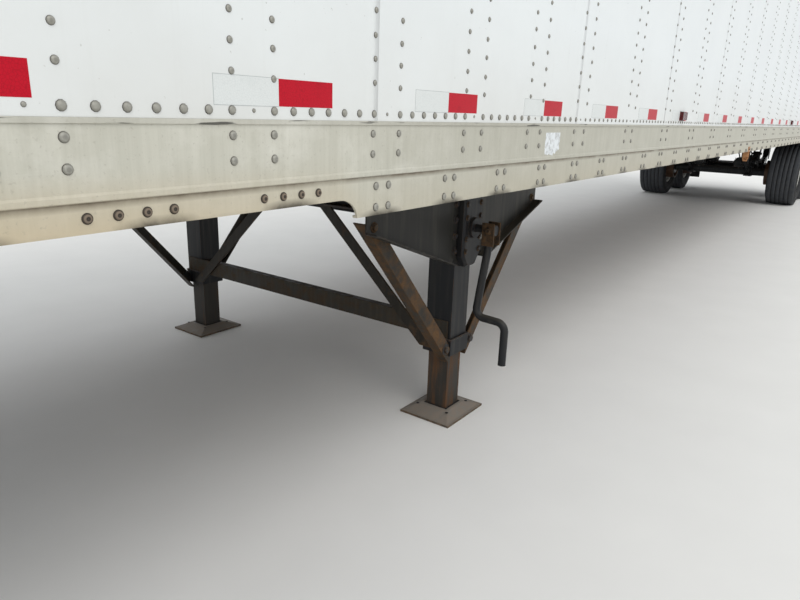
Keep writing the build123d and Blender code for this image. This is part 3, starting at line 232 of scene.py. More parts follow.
# Coil coating is a satin white under a clear gloss. Rain runs lie 29 mm apart, and flecks are 12 mm.
# Dirt thrown up by the wheels clouds the sheets' feet, and dents 180 mm across bend what they mirror.
coil_paint, tree, shader, place = new_finish(
    "coil_coated_white_aluminium", "E4E8E8", 0.38, Coat_Weight=0.25, Coat_Roughness=0.22
)
apart = add(tree, "SeparateXYZ", {0: place})
upright = add(tree, "Mapping", {"Vector": place, "Scale": (34.0, 34.0, 1.1)})
runs = add(tree, "TexNoise", {"Vector": upright, "Scale": 1.0, "Detail": 5.0, "Roughness": 0.6})
cloud = add(tree, "TexNoise", {"Vector": place, "Scale": 2.2, "Detail": 7.0, "Roughness": 0.62})
fleck = add(tree, "TexNoise", {"Vector": place, "Scale": 85.0, "Detail": 2.0})
low_down = add(tree, "MapRange", {0: apart.outputs["Z"], 1: 1.62, 2: 1.27, 3: 0.0, 4: 1.0})
grime = add(tree, "Math", {0: low_down, 1: cloud}, operation="MULTIPLY")
layers = (
    (cloud, 0.42, 0.72, 0.35, "D8DCDD"),
    (runs, 0.57, 0.82, 0.24, "C6C7C3"),
    (fleck, 0.715, 0.76, 0.55, "96948D"),
    (grime, 0.0, 1.0, 1.0, "D2D1CB"),
)
dents = add(tree, "TexNoise", {"Vector": place, "Scale": 5.5, "Detail": 2.0})
bump = add(tree, "Bump", {"Height": dents, "Distance": 0.004, "Strength": 0.22})
feed(shader, {"Base Color": laid_over(tree, "E4E8E8", layers), "Normal": bump})

for side, hand in hands:
    for number, start in enumerate(np.arange(seam_post - 2 * sheet_width, body_back, sheet_width)):
        front = max(start - lap_behind - lap_run, body_front)
        back = min(start + sheet_width - lap_behind, body_back)
        along = np.sort(np.concatenate([np.arange(front, back - 0.03, sheet_step), back - back_steps]))
        x, z = (a.ravel() for a in np.meshgrid(along, np.linspace(sheet_foot, sheet_head, sheet_rows)))
        off = skin(np.minimum(x, back - 1e-6), z)
        off[len(along) - 1 :: len(along)] = 0.0
        off = np.where(x < front + lap_run - 1e-6, sheet_rest, off) if number else off
        points = at(x, side * (wall_face + off), z)
        faces = grid_faces(sheet_rows, len(along))[:, ::-side]
        name = f"{hand}_side_sheet_{number + 1:02d}"
        mesh_piece(name, points, [faces], coil_paint, smooth=True)
paint(coil_paint, "left_wall", "right_wall", "front_wall", "left_door", "right_door")


# Rivets of the side walls
# Aluminium buck rivets with low domed heads. A dark ring round each head's foot is dirt and painted shade,
# and a lighter band on the dome is a painted highlight.
# Two upright rows hold each sheet to its post, and one close row holds the sheets' feet.

# Soft alloy dulls to a grey mottle of 4 mm, about half a head.
rivet_alloy, tree, shader, place = new_finish("aluminium_rivet", "A5A39A", 0.48, 0.35)
# The head attribute paints dirt and shade at each head's foot and a highlight on its dome.
head_shading = add(tree, "Attribute", {}, attribute_name="head").outputs["Fac"]
mottle = add(tree, "TexNoise", {"Vector": place, "Scale": 260.0, "Detail": 3.0})
own_tone = add(tree, "Mix", {0: mottle, 6: "8C8A81", 7: "ADABA2"}, data_type="RGBA")
shaded_head = add(tree, "Mix", {0: head_shading, 6: "3F3C36", 7: own_tone}, data_type="RGBA")
feed(shader, {"Base Color": shaded_head})

# Heads are outlines in radii, from the foot inwards: how far from the middle, how high, and how lit, from
# painted shade to painted highlight.
DOME = np.array([(1, 0, 0), (0.99, 0.06, 0), (0.86, 0.26, 0.75), (0.6, 0.45, 1), (0.28, 0.54, 0.72)])
LOW_DOME = np.array([(1, 0, 0), (0.88, 0.24, 0.7), (0.45, 0.50, 1)])


def round_steps(count):
    """The angles that cut a full turn into equal steps: 2π · step / count."""
    return 2 * np.pi * np.arange(count) / count


def end_caps(rings, sides):
    """The first ring's corners, turned back, and the last ring's, as the two lids of a run of rings."""
    return np.stack([np.arange(sides)[::-1], (rings - 1) * sides + np.arange(sides)])


def studs(name, places, out, radius, finish, shape=DOME, sides=14, smooth=True, body="trailer"):
    """Copies of one turned head: place + r (cos t · across + sin t · up) + h · out, closed top and bottom."""
    places = np.asarray(places, float).reshape(-1, 3)
    out = np.asarray(out, float) / np.linalg.norm(out)
    across = np.cross((0, 0, 1) if abs(out[2]) < 0.9 else (1, 0, 0), out)
    across /= np.linalg.norm(across)
    up = np.cross(out, across)
    t = round_steps(sides)[:, None]
    radius = np.broadcast_to(radius, len(places))[:, None, None, None]
    head = shape[:, 0, None, None] * (np.cos(t) * across + np.sin(t) * up) + shape[:, 1, None, None] * out
    points = places[:, None, None, :] + radius * head
    first = np.arange(len(places))[:, None, None] * len(shape) * sides
    quads = (first + grid_faces(len(shape), sides, closed=True)).reshape(-1, 4)
    caps = (first + end_caps(len(shape), sides)).reshape(-1, sides)
    piece = mesh_piece(name, points, [quads, caps], finish, body=body, smooth=smooth)
    # Each point's share of the head's own tone against painted shade, kept as the head attribute.
    own_tone = np.tile(np.repeat(shape[:, 2], sides), len(places)).astype(np.float32)
    piece.data.attributes.new("head", "FLOAT", "POINT").data.foreach_set("value", own_tone)
    return piece


def on_wall(side, x, z, proud=None):
    """Points on a side wall's skin, or proud of the wall's face by a given height."""
    x, z = (a.ravel() for a in np.broadcast_arrays(np.asarray(x, float), np.asarray(z, float)))
    return at(x, side * (wall_face + (skin(x, z) if proud is None else proud)), z)


rivet_pitch = 0.0508
column_spread, column_drop = 0.050, 0.0075
post_rows = np.arange(1.3635, 3.86, rivet_pitch)
foot_row = 1.296
fine_until, big_heads_until = -2.0, -4.2
small_head, head, big_head = 0.0042, 0.0068, 0.0088
fine_posts = posts[(posts > body_front + 0.06) & (posts < fine_until)]
far_posts = posts[posts >= fine_until]
for side, hand in hands:
    for name, some_posts, shape, sides in (("front", fine_posts, DOME, 12), ("rear", far_posts, LOW_DOME, 8)):
        columns = np.concatenate([some_posts - column_spread, some_posts + column_spread])
        x, z = np.meshgrid(columns, post_rows, indexing="ij")
        z = z - column_drop * (np.arange(len(columns)) >= len(some_posts))[:, None]
        x = x + rng.normal(0, 0.0008, x.shape)
        z = z + rng.normal(0, 0.0012, z.shape)
        places = on_wall(side, x, z)
        studs(f"{hand}_{name}_post_rivets", places, (0, side, 0), head, rivet_alloy, shape, sides)
    row = seam_post + rivet_pitch * np.arange(-48, 264)
    row = row[(row > body_front + 0.02) & (row < body_back - 0.02)]
    on_post = np.abs(row[:, None] - posts).min(1) < rivet_pitch / 3
    size = np.where(on_post, small_head, np.where(row < big_heads_until, big_head, head))
    places = on_wall(side, row, foot_row)
    studs(f"{hand}_foot_rivets", places, (0, side, 0), size, rivet_alloy, LOW_DOME, 10)


# Bottom rails
# Each is one long aluminium extrusion, mill finish gone grey, streaked by rain and browned by road dirt.
# Rivets run through it into the side posts, and four to each cross member. Bolts hold the coupler's beams.

first_beam = -5.459
# Mill finish gives a soft silver. Rain runs are 17 mm wide, blotches 110 mm and grit 7 mm.
# The die's lines are finer than 1 mm in truth, and lie 3 mm apart here so that they show.
rail_metal, tree, shader, place = new_finish("weathered_mill_aluminium", "CBC9BC", 0.5, 0.3)
apart = add(tree, "SeparateXYZ", {0: place})
x, z = apart.outputs["X"], apart.outputs["Z"]
upright = add(tree, "Mapping", {"Vector": place, "Scale": (60.0, 60.0, 2.6)})
runs = add(tree, "TexNoise", {"Vector": upright, "Scale": 1.0, "Detail": 6.0, "Roughness": 0.65})
broad = add(tree, "Mapping", {"Vector": place, "Scale": (7.0, 7.0, 1.6)})
bands = add(tree, "TexNoise", {"Vector": broad, "Scale": 1.0, "Detail": 4.0})
cloud = add(tree, "TexNoise", {"Vector": place, "Scale": 9.0, "Detail": 9.0, "Roughness": 0.68})
grit = add(tree, "TexNoise", {"Vector": place, "Scale": 150.0, "Detail": 4.0, "Roughness": 0.6})
shallow = add(tree, "MapRange", {0: x, 1: -5.53, 2: -5.61, 3: 0.0, 4: 0.046})
above_edge = add(tree, "Math", {0: z, 1: shallow}, operation="SUBTRACT")
low_dirt = add(tree, "MapRange", {0: above_edge, 1: 1.165, 2: 1.06, 3: 0.0, 4: 1.0})
nose_dirt = add(tree, "MapRange", {0: x, 1: -5.3, 2: -6.4, 3: 0.0, 4: 1.0})
tan = add(tree, "Math", {0: low_dirt, 1: nose_dirt}, operation="MULTIPLY")
under_bead = add(tree, "MapRange", {0: z, 1: 1.139, 2: 1.152, 3: 0.0, 4: 1.0})
below_bead = add(tree, "Math", {0: z, 1: 1.1545}, operation="LESS_THAN")
washed = add(tree, "Math", {0: under_bead, 1: below_bead}, operation="MULTIPLY")
grimy = add(tree, "Math", {0: washed, 1: cloud}, operation="MULTIPLY")
edge_dirt = add(tree, "MapRange", {0: above_edge, 1: 1.082, 2: 1.059, 3: 0.0, 4: 1.0})
past_beam = add(tree, "Math", {0: x, 1: first_beam}, operation="SUBTRACT")
from_beam = add(tree, "Math", {0: past_beam, 1: foot / 2}, operation="PINGPONG")
at_beam = add(tree, "MapRange", {0: from_beam, 1: 0.085, 2: 0.030, 3: 0.22, 4: 1.0})
sprayed = add(tree, "Math", {0: edge_dirt, 1: at_beam}, operation="MULTIPLY")
spatter = add(tree, "Math", {0: sprayed, 1: cloud}, operation="MULTIPLY")
lip_dirt = add(tree, "MapRange", {0: z, 1: 1.262, 2: 1.271, 3: 0.0, 4: 1.0})
rubbed_place = add(tree, "Mapping", {"Vector": place, "Scale": (7.0, 7.0, 120.0)})
rubbed = add(tree, "TexNoise", {"Vector": rubbed_place, "Scale": 1.0, "Detail": 4.0})
scuff = add(tree, "Math", {0: rubbed, 1: lip_dirt}, operation="MULTIPLY")
layers = (
    (runs, 0.35, 0.75, 0.50, "ACAA9C"),
    (bands, 0.48, 0.75, 0.40, "B3B0A2"),
    (cloud, 0.48, 0.70, 0.60, "DEDCD2"),
    (x, -5.6, -5.05, 0.38, "A5A294"),
    (low_dirt, 0.0, 1.0, 0.35, "B5A98F"),
    (tan, 0.1, 0.8, 0.50, "C9B48F"),
    (grimy, 0.06, 0.60, 0.90, "6A5E4C"),
    (spatter, 0.08, 0.45, 0.90, "453F34"),
    (grit, 0.60, 0.70, 0.35, "9A9486"),
    (lip_dirt, 0.0, 1.0, 0.25, "A4A29A"),
    (scuff, 0.60, 0.64, 0.85, "34322E"),
)
drawn = add(tree, "Mapping", {"Vector": place, "Scale": (1.5, 300.0, 300.0)})
lines = add(tree, "TexNoise", {"Vector": drawn, "Scale": 1.0, "Detail": 2.0})
rough = add(tree, "MapRange", {0: cloud, 1: 0.3, 2: 0.7, 3: 0.40, 4: 0.66})
bump = add(tree, "Bump", {"Height": lines, "Distance": 0.0006, "Strength": 0.25})
feed(shader, {"Base Color": laid_over(tree, "CBC9BC", layers), "Roughness": rough, "Normal": bump})
paint(rail_metal, "left_bottom_rail", "right_bottom_rail", "nose_bottom_rail")
paint(rail_metal, "left_top_rail", "right_top_rail", "nose_top_rail")

# Plain steel under brown road dirt. Each head has a dark foot of grease and painted shade, a painted
# highlight on its dome and painted shade in its middle.
road_bolt, tree, shader, place = new_finish("road_dirty_steel_bolt", "6A5E4F", 0.7, 0.2)
head_shading = add(tree, "Attribute", {}, attribute_name="head").outputs["Fac"]
shaded_head = add(tree, "Mix", {0: head_shading, 6: "27221D", 7: "7C6E5F"}, data_type="RGBA")
feed(shader, {"Base Color": shaded_head})

rail_face = 1.2925
rail_off = rail_face - wall_face
beam_places = first_beam + foot * np.arange(44)
coupler_beams = -5.758 - 0.3556 * np.arange(7)
group_half = 0.0244
post_heights, beam_heights, coupler_height = (1.2516, 1.2055), (1.130, 1.0796), 1.130
# The bolt outline's third column paints light: a dark washer, a lit dome and a shaded middle.
flange, domed = [(1, 0, 0), (1, 0.1, 0.1), (0.8, 0.2, 0.2)], [(0.7, 0.45, 1), (0.45, 0.5, 0.9)]
BOLT = np.array([*flange, *domed, (0.3, 0.45, 0), (0.1, 0.43, 0.2)])
for side, hand in hands:
    columns = np.concatenate([posts - column_spread, posts + column_spread])
    columns = columns[(columns > body_front + 0.02) & (columns < body_back - 0.02)]
    places = on_wall(side, *np.meshgrid(columns, post_heights, indexing="ij"), rail_off)
    studs(f"{hand}_rail_post_rivets", places, (0, side, 0), 0.0088, rivet_alloy)
    columns = np.concatenate([beam_places - group_half, beam_places + group_half])
    places = on_wall(side, *np.meshgrid(columns, beam_heights, indexing="ij"), rail_off)
    studs(f"{hand}_rail_beam_rivets", places, (0, side, 0), 0.0101, rivet_alloy)
    columns = (coupler_beams[:, None] + rivet_pitch * (np.arange(4) - 1.5)).ravel()
    places = on_wall(side, columns[columns > body_front + 0.02], coupler_height, rail_off)
    studs(f"{hand}_rail_coupler_bolts", places, (0, side, 0), 0.0092, road_bolt, BOLT, 16)


# Reflective tape
# Two inch prismatic tape in six inch blocks, a white one ahead of each red one, down both sides.
# The white has gone nearly as grey as the wall, and only its edges show.

# Each prism is under 1 mm across in truth, and is drawn 5 mm wide so that the net shows.
tape_finishes = {}
for name, colour, deep in (("red", "BC0824", "98061A"), ("white", "DADDDB", "CCD0CE")):
    tape, tree, shader, place = new_finish(f"prismatic_tape_{name}", colour, 0.34, Specular_IOR_Level=0.18)
    cells = add(tree, "TexVoronoi", {"Vector": place, "Scale": 210.0}, feature="DISTANCE_TO_EDGE")
    wear = add(tree, "TexNoise", {"Vector": place, "Scale": 30.0, "Detail": 5.0})
    layers = ((cells, 0.09, 0.02, 0.55, deep), (wear, 0.55, 0.75, 0.35, deep))
    feed(shader, {"Base Color": laid_over(tree, colour, layers)})
    tape_finishes[name] = tape
# The tape's cut edge holds grey dust in specks of 25 mm.
tape_edge, tree, shader, place = new_finish("grey_tape_edge", "9AA09F", 0.6)
edge_dust = add(tree, "TexNoise", {"Vector": place, "Scale": 40.0})
edge_tint = add(tree, "Mix", {0: edge_dust, 6: "A2A6A5", 7: "C2C6C5"}, data_type="RGBA")
feed(shader, {"Base Color": edge_tint})

tape_low, tape_high = 1.305, 1.356
block_length = foot / 2
tape_gap, tape_rim = 0.00035, 0.0012
first_red = seam_post - 0.3436


def patches(name, starts, side, length, low, high, gap, finish):
    """Thin patches on the wall's skin: each a grid from start to start + length, its rim on the wall."""
    u = np.array([0, 0, *np.linspace(0, 1, 5), 1, 1])
    v = np.array([0, 0, 0, 0.5, 1, 1, 1])
    x = (np.asarray(starts)[:, None, None] + length * u[None, None, :]) + 0 * v[None, :, None]
    z = low + (high - low) * v[None, :, None] + 0 * x
    column, row = np.meshgrid(np.arange(len(u)), np.arange(len(v)))
    rim = (row % (len(v) - 1) == 0) | (column % (len(u) - 1) == 0)
    off = skin(x, z) + np.where(rim, 0.0, gap)
    one = grid_faces(len(v), len(u))[:, ::-side]
    faces = (np.arange(len(starts))[:, None, None] * len(u) * len(v) + one).reshape(-1, 4)
    return mesh_piece(name, at(x, side * (wall_face + off), z), [faces], finish)


for side, hand in hands:
    reds = first_red + 2 * foot * np.arange(-3, 22)
    whites = reds - block_length
    for name, starts in (("red", reds), ("white", whites)):
        finish = tape_finishes[name]
        patches(f"{hand}_{name}_tape", starts, side, block_length, tape_low, tape_high, tape_gap, finish)
    starts, length = whites - tape_rim, block_length + tape_rim
    low, high = tape_low - tape_rim, tape_high + tape_rim
    patches(f"{hand}_tape_edge", starts, side, length, low, high, tape_gap / 2, tape_edge)


# Landing gear
# Two square telescoping legs in chassis black, let down on flat shoes, braced to the frame and to each other.
# The paint has gone dull and dusty, and rust has taken the inner tubes, the braces and the shoes.


def worn_edges(tree, most):
    """Edge wear: up to most as the plain · rounded normal falls to 0.90. Gives rounded and geometry too."""
    geometry = add(tree, "NewGeometry")
    rounded = add(tree, "Bevel", {"Radius": 0.004}, samples=4)
    pair = {0: geometry.outputs["Normal"], 1: rounded}
    flat = add(tree, "VectorMath", pair, operation="DOT_PRODUCT").outputs["Value"]
    return add(tree, "MapRange", {0: flat, 1: 0.985, 2: 0.90, 3: 0.0, 4: most}), rounded, geometry


def painted_steel(name, paint, rust, dust, rust_range, dust_most=0.5, scale=14.0, far_shade=0.0, upright=1.0):
    """Old paint over steel: rust where noise + edge wear passes a range, and dust on what faces up.

    Scale gives the rust's blotches, 1 / scale metres across, and its pits, a ninth of that. Streaks of
    dust are 22 mm wide. Worn edges are 4 mm. The far-side share takes rust off what is right of the left
    leg, so the far pieces keep their dark paint as painted shade. Upright under 1 draws the rust out into
    runs.
    """
    made, tree, shader, place = new_finish(name, paint, 0.55, Specular_IOR_Level=0.22)
    drawn_out = add(tree, "Mapping", {"Vector": place, "Scale": (1.0, 1.0, upright)})
    blotch = add(tree, "TexNoise", {"Vector": drawn_out, "Scale": scale, "Detail": 9.0, "Roughness": 0.7})
    fine = add(tree, "TexNoise", {"Vector": place, "Scale": scale * 9, "Detail": 5.0, "Roughness": 0.7})
    streak_place = add(tree, "Mapping", {"Vector": place, "Scale": (45.0, 45.0, 2.5)})
    streak = add(tree, "TexNoise", {"Vector": streak_place, "Scale": 1.0, "Detail": 5.0})
    edge, rounded, geometry = worn_edges(tree, 0.22)
    patchy = add(tree, "Math", {0: blotch, 1: edge}, operation="ADD")
    # Painted shade: pieces right of the left leg lose their rust and keep the dark paint, as the far side
    # lies in shade.
    if far_shade:
        across = add(tree, "SeparateXYZ", {0: place}).outputs["Y"]
        inboard = add(tree, "MapRange", {0: across, 1: -0.80, 2: -0.70, 3: 0.0, 4: far_shade})
        patchy = add(tree, "Math", {0: patchy, 1: inboard}, operation="SUBTRACT")
    rusted = add(tree, "MapRange", {0: patchy, 1: rust_range[0], 2: rust_range[1], 3: 0.0, 4: 1.0})
    facing = add(tree, "SeparateXYZ", {0: geometry.outputs["Normal"]}).outputs["Z"]
    up = add(tree, "MapRange", {0: facing, 1: 0.3, 2: 1.0, 3: 0.0, 4: dust_most})
    dirty = add(tree, "MapRange", {0: streak, 1: 0.45, 2: 0.8, 3: 0.0, 4: dust_most * 0.6})
    dusty = add(tree, "Math", {0: up, 1: dirty}, operation="MAXIMUM")
    dark_rust = tuple(0.45 * c for c in linear(rust)[:3]) + (1.0,)
    rust_tint = add(tree, "Mix", {0: fine, 6: dark_rust, 7: rust}, data_type="RGBA")
    lived = add(tree, "Mix", {0: rusted, 6: paint, 7: rust_tint}, data_type="RGBA")
    topped = add(tree, "Mix", {0: dusty, 6: lived, 7: dust}, data_type="RGBA")
    rough = add(tree, "MapRange", {0: rusted, 1: 0.0, 2: 1.0, 3: 0.46, 4: 0.88})
    height = add(tree, "Math", {0: fine, 1: rusted}, operation="MULTIPLY")
    bump = add(tree, "Bump", {"Height": height, "Distance": 0.0012, "Strength": 0.5, "Normal": rounded})
    feed(shader, {"Base Color": topped, "Roughness": rough, "Normal": bump})
    return made


leg_black = painted_steel("chassis_black_enamel", "212224", "5A3D28", "6A645A", (0.68, 0.74), 0.30)
paint(leg_black, "left_leg_housing", "right_leg_housing", "leg_crank", "leg_cross_shaft")
wing_dust = painted_steel("dusty_wing_enamel", "2A2926", "4E3C2D", "6E685C", (0.68, 0.76), 0.40)
paint(wing_dust, "leg_brackets")
# The braces and inner tubes right of the left leg keep their dark paint: painted shade.
brace_rust = painted_steel(
    "rusted_brace_steel", "2C2822", "6F5338", "665D4F", (0.40, 0.62), 0.25, 20.0, far_shade=0.16
)
paint(brace_rust, "leg_braces")
tube_rust = painted_steel(
    "rusted_inner_tube", "33302C", "6F4F35", "5A544B", (0.44, 0.60), 0.30, 26.0, far_shade=0.12, upright=0.10
)
paint(tube_rust, "inner_legs")
shoe_rust = painted_steel("dusty_rusted_shoe", "4A443B", "6E5A46", "98928A", (0.42, 0.56), 0.55, 34.0)
paint(shoe_rust, "leg_shoes")
cross_rust = painted_steel("dull_cross_brace_steel", "35322C", "54432F", "635A50", (0.44, 0.66), 0.35)
paint(cross_rust, "leg_cross_brace")
frame_black = painted_steel("frame_black_paint", "292B2D", "5C4231", "68635B", (0.64, 0.72), 0.40)
paint(frame_black, "cross_members", "upper_coupler", "front_axle", "rear_axle", "slider_rails")
paint(frame_black, "slider_frame", "leaf_springs", "torque_arms", "brake_chambers")
paint(frame_black, "flap_brackets", "air_tank")


# Landing gear fittings
# Bolts through the wing plates, the gearbox cover's screws, the crank's clevis and pins at the braces' ends.
# All are plain steel that was painted with the legs, and most of it has rusted since.

leg_x, leg_y = -4.419, 0.855
wing_out, gearbox_out, brace_out = 0.9245, 0.9605, 0.9185
shaft_z, collar_half, collar_foot = 0.855, 0.0715, 0.367

fitting_steel = painted_steel("dull_fitting_steel", "2B2C2F", "5A4632", "706A60", (0.50, 0.62), 0.35, 40.0)
clevis_rust = painted_steel("rusted_clevis", "2E2822", "6A5036", "7D6F5A", (0.40, 0.60), 0.40, 40.0)
weld_bead = painted_steel("painted_weld_bead", "2B2C2F", "5C4334", "6F685C", (0.52, 0.62), 0.35, 60.0)
# Open holes, the gaps round the inner legs at the shoes and the bumpers' recesses are dull black pieces:
# painted shade, with a 3 mm grain.
hole_shade, tree, shader, place = new_finish("unlit_bolt_hole", "0B0B0C", 0.9)
shade_grain = add(tree, "TexNoise", {"Vector": place, "Scale": 300.0})
feed(shader, {"Base Color": add(tree, "Mix", {0: shade_grain, 6: "060607", 7: "15130F"}, data_type="RGBA")})

HEX = np.array([(1.0, 0, 0.2), (1.0, 0.50, 1), (0.86, 0.62, 1)])
WASHER = np.array([(1.5, 0, 0.2), (1.5, 0.12, 1), (1.42, 0.17, 1)])
FLUSH = np.array([(1.0, 0, 1), (0.9, 0.04, 1)])


def bolts(name, places, out, radius, finish, body="trailer"):
    """Hexagon heads on round washers: the same places, the washers half as wide again as the heads."""
    studs(f"{name}_washers", places, out, radius, finish, WASHER, 16, True, body)
    seated = np.asarray(places, float) + WASHER[-1, 1] * radius * np.asarray(out, float)
    studs(f"{name}_heads", seated, out, radius, finish, HEX, 6, False, body)


def slabs(name, lows, highs, finish, bevel=0.0, body="trailer", slot=None):
    """Boxes between low and high corners: low + corner (high - low), with bevelled edges if asked."""
    lows, highs = (np.asarray(a, float).reshape(-1, 1, 3) for a in (lows, highs))
    foot_corners = [(0, 0, 0), (1, 0, 0), (1, 1, 0), (0, 1, 0)]
    corner = np.array([*foot_corners, *((x, y, 1) for x, y, _ in foot_corners)])
    sides = [(0, 3, 2, 1), (4, 5, 6, 7), (0, 1, 5, 4), (1, 2, 6, 5), (2, 3, 7, 6), (3, 0, 4, 7)]
    points = lows + corner * (highs - lows)
    faces = (np.arange(len(points))[:, None, None] * 8 + np.array(sides)).reshape(-1, 4)
    piece = mesh_piece(name, points, [faces], finish, body=body)
    if bevel:
        rounding = piece.modifiers.new("rounded_edges", "BEVEL")
        rounding.width, rounding.segments, rounding.limit_method = bevel, 2, "ANGLE"


def tube(name, path, radius, finish, sides=8, closed=False, wobble=0.0):
    """A tube along a path: p + r (cos t · a + sin t · b), a and b square to the run, r varied by wobble."""
    path = np.asarray(path, float)
    ahead_of = np.roll(path, -1, 0) - np.roll(path, 1, 0)
    if not closed:
        ahead_of[0], ahead_of[-1] = path[1] - path[0], path[-1] - path[-2]
    ahead_of /= np.linalg.norm(ahead_of, axis=1)[:, None]
    reference = np.where(np.abs(ahead_of[:, 2:]) < 0.9, (0.0, 0.0, 1.0), (1.0, 0.0, 0.0))
    a = np.cross(ahead_of, reference)
    a /= np.linalg.norm(a, axis=1)[:, None]
    b = np.cross(ahead_of, a)
    t = round_steps(sides)[:, None]
    r = radius * (1 + wobble * rng.uniform(-1, 1, len(path)))[:, None, None]
    points = path[:, None] + r * (np.cos(t) * a[:, None] + np.sin(t) * b[:, None])
    quads = grid_faces(len(path), sides, closed=True)
    ends = end_caps(len(path), sides)
    if closed:
        first, last = np.arange(sides), ends[1]
        join = np.stack([last, np.roll(last, -1), np.roll(first, -1), first], 1)
        faces = [np.concatenate([quads, join])]
    else:
        faces = [quads, ends]
    return mesh_piece(name, points, faces, finish, smooth=True)


def dense(corners, step=0.01):
    """The corners of a closed outline with points every step between them."""
    corners = np.asarray(corners, float)
    runs = []
    for start, end in zip(corners, np.roll(corners, -1, 0)):
        count = max(int(np.linalg.norm(end - start) / step), 1)
        runs.append(start + (end - start) * (np.arange(count) / count)[:, None])
    return np.concatenate(runs)


# Each row: name, how far fore and aft of the leg's middle, heights, how far out, head and finish.
wing_fittings = (
    ("wing_bolts", 0.084, (0.762, 0.827, 0.892, 0.957, 1.018), wing_out, 0.0115, fitting_steel),
    ("brace_head_bolts", 0.610, (0.925,), wing_out, 0.0125, clevis_rust),
    ("brace_foot_pins", 0.098, (0.334,), brace_out, 0.017, fitting_steel),
)
square = np.array([(-1, -1), (1, -1), (1, 1), (-1, 1)])
wing_holes = np.array([(-0.083, 0.717), (0.083, 0.717), (-0.56, 1.02), (0.56, 1.02)])
shoe_hole_half, shoe_slope_z = np.array([0.081, 0.078]), 0.0336
tube_half, gap_half, shoe_top, gap_thick = 0.051, 0.060, 0.0355, 0.0008
gap_lows = [(-gap_half, -gap_half), (tube_half, -gap_half), (-gap_half, -tube_half), (-tube_half, tube_half)]
gap_highs = [(tube_half, -tube_half), (gap_half, tube_half), (-tube_half, gap_half), (gap_half, gap_half)]
for side, hand in hands:
    out, leg = (0, side, 0), np.array([leg_x, side * leg_y])
    for name, fore, heights, outward, head_radius, finish in wing_fittings:
        x, z = np.meshgrid((leg_x - fore, leg_x + fore), heights, indexing="ij")
        bolts(f"{hand}_{name}", at(x, side * outward, z), out, head_radius, finish)
    # Flat black discs stand for the open holes in the wing plates: painted shade.
    places = at(leg_x + wing_holes[:, 0], side * wing_out, wing_holes[:, 1])
    studs(f"{hand}_wing_holes", places, out, 0.0085, hole_shade, FLUSH)
    rim = leg + collar_half * square
    tube(f"{hand}_collar_weld", dense(at(*rim.T, collar_foot), 0.006), 0.0045, weld_bead, 6, True, 0.25)
    # Flat black discs stand for the holes in each shoe: painted shade.
    places = at(*(leg + shoe_hole_half * square).T, shoe_slope_z)
    studs(f"{hand}_shoe_holes", places, (0, 0, 1), 0.0075, hole_shade, FLUSH)
    # A thin black ring on each shoe's top stands for the gap round the inner leg: painted shade.
    lows, highs = at(*(leg + gap_lows).T, shoe_top), at(*(leg + gap_highs).T, shoe_top + gap_thick)
    slabs(f"{hand}_shoe_gap_shade", lows, highs, hole_shade)

x, z = np.meshgrid((leg_x - 0.052, leg_x + 0.052), (0.760, 0.812, 0.900, 0.955, 1.010), indexing="ij")
bolts("gearbox_cover_screws", at(x, -gearbox_out, z), (0, -1, 0), 0.0085, fitting_steel)
studs("wing_bright_bolt", [(leg_x + 0.128, -wing_out, 0.795)], (0, -1, 0), 0.012, rivet_alloy)

crank_y, cheek_out, cheek_front = -1.045, 0.0285, -1.072
cheeks = at((leg_x - cheek_out, leg_x + 0.0225), cheek_front, 0.792)
slabs("crank_clevis", cheeks, cheeks + (0.006, 0.056, 0.094), clevis_rust, 0.002)
for name, out in (("crank_pin", -1), ("crank_pin_nut", 1)):
    bolts(name, [(leg_x + out * cheek_out, crank_y, shaft_z)], (out, 0, 0), 0.011, clevis_rust)
studs("crank_grip_end", [(leg_x, -1.1395, 0.292)], (0, 0, -1), 0.0172, fitting_steel, FLUSH, 20)
sleeve_y, sleeve_half, sleeve_radius = 0.70, 0.045, 0.021
for side, hand in hands:
    y = side * sleeve_y
    ends = [(leg_x, y - sleeve_half, shaft_z), (leg_x, y + sleeve_half, shaft_z)]
    tube(f"shaft_sleeve_{hand}", ends, sleeve_radius, fitting_steel, 20)
    bolts(f"sleeve_bolt_{hand}", [(leg_x - sleeve_radius, y, shaft_z)], (-1, 0, 0), 0.008, clevis_rust)


# Nose, roof and floor
# The nose is sheet over posts like the sides. The roof is one bonded aluminium sheet on hat-section bows.
# The deck is laminated oak strip, worn along its middle by fork trucks and screwed to every cross member.

nose_face = -8.075
nose_posts = 0.4064 * np.arange(-2, 3)
y, z = np.meshgrid(np.concatenate([nose_posts - 0.022, nose_posts + 0.022]), post_rows, indexing="ij")
studs("nose_post_rivets", at(nose_face, y, z), (-1, 0, 0), head, rivet_alloy, LOW_DOME, 10)
y = rivet_pitch * np.arange(-22, 23)
for label, z in (("foot", foot_row), ("head", 3.866)):
    studs(f"nose_{label}_rivets", at(nose_face, y, z), (-1, 0, 0), 0.0072, rivet_alloy, LOW_DOME, 10)
roof_top, roof_edge_drop = 4.0096, 0.0032
for side, hand in hands:
    x = np.arange(body_front + 0.04, body_back - 0.02, rivet_pitch)
    places = at(x, side * 1.2955, 3.93)
    studs(f"{hand}_top_rail_rivets", places, (0, side, 0), 0.0066, rivet_alloy, LOW_DOME, 8)
    places = at(x, side * 1.266, roof_top - roof_edge_drop)
    studs(f"{hand}_roof_edge_rivets", places, (0, 0, 1), 0.0062, rivet_alloy, LOW_DOME, 8)

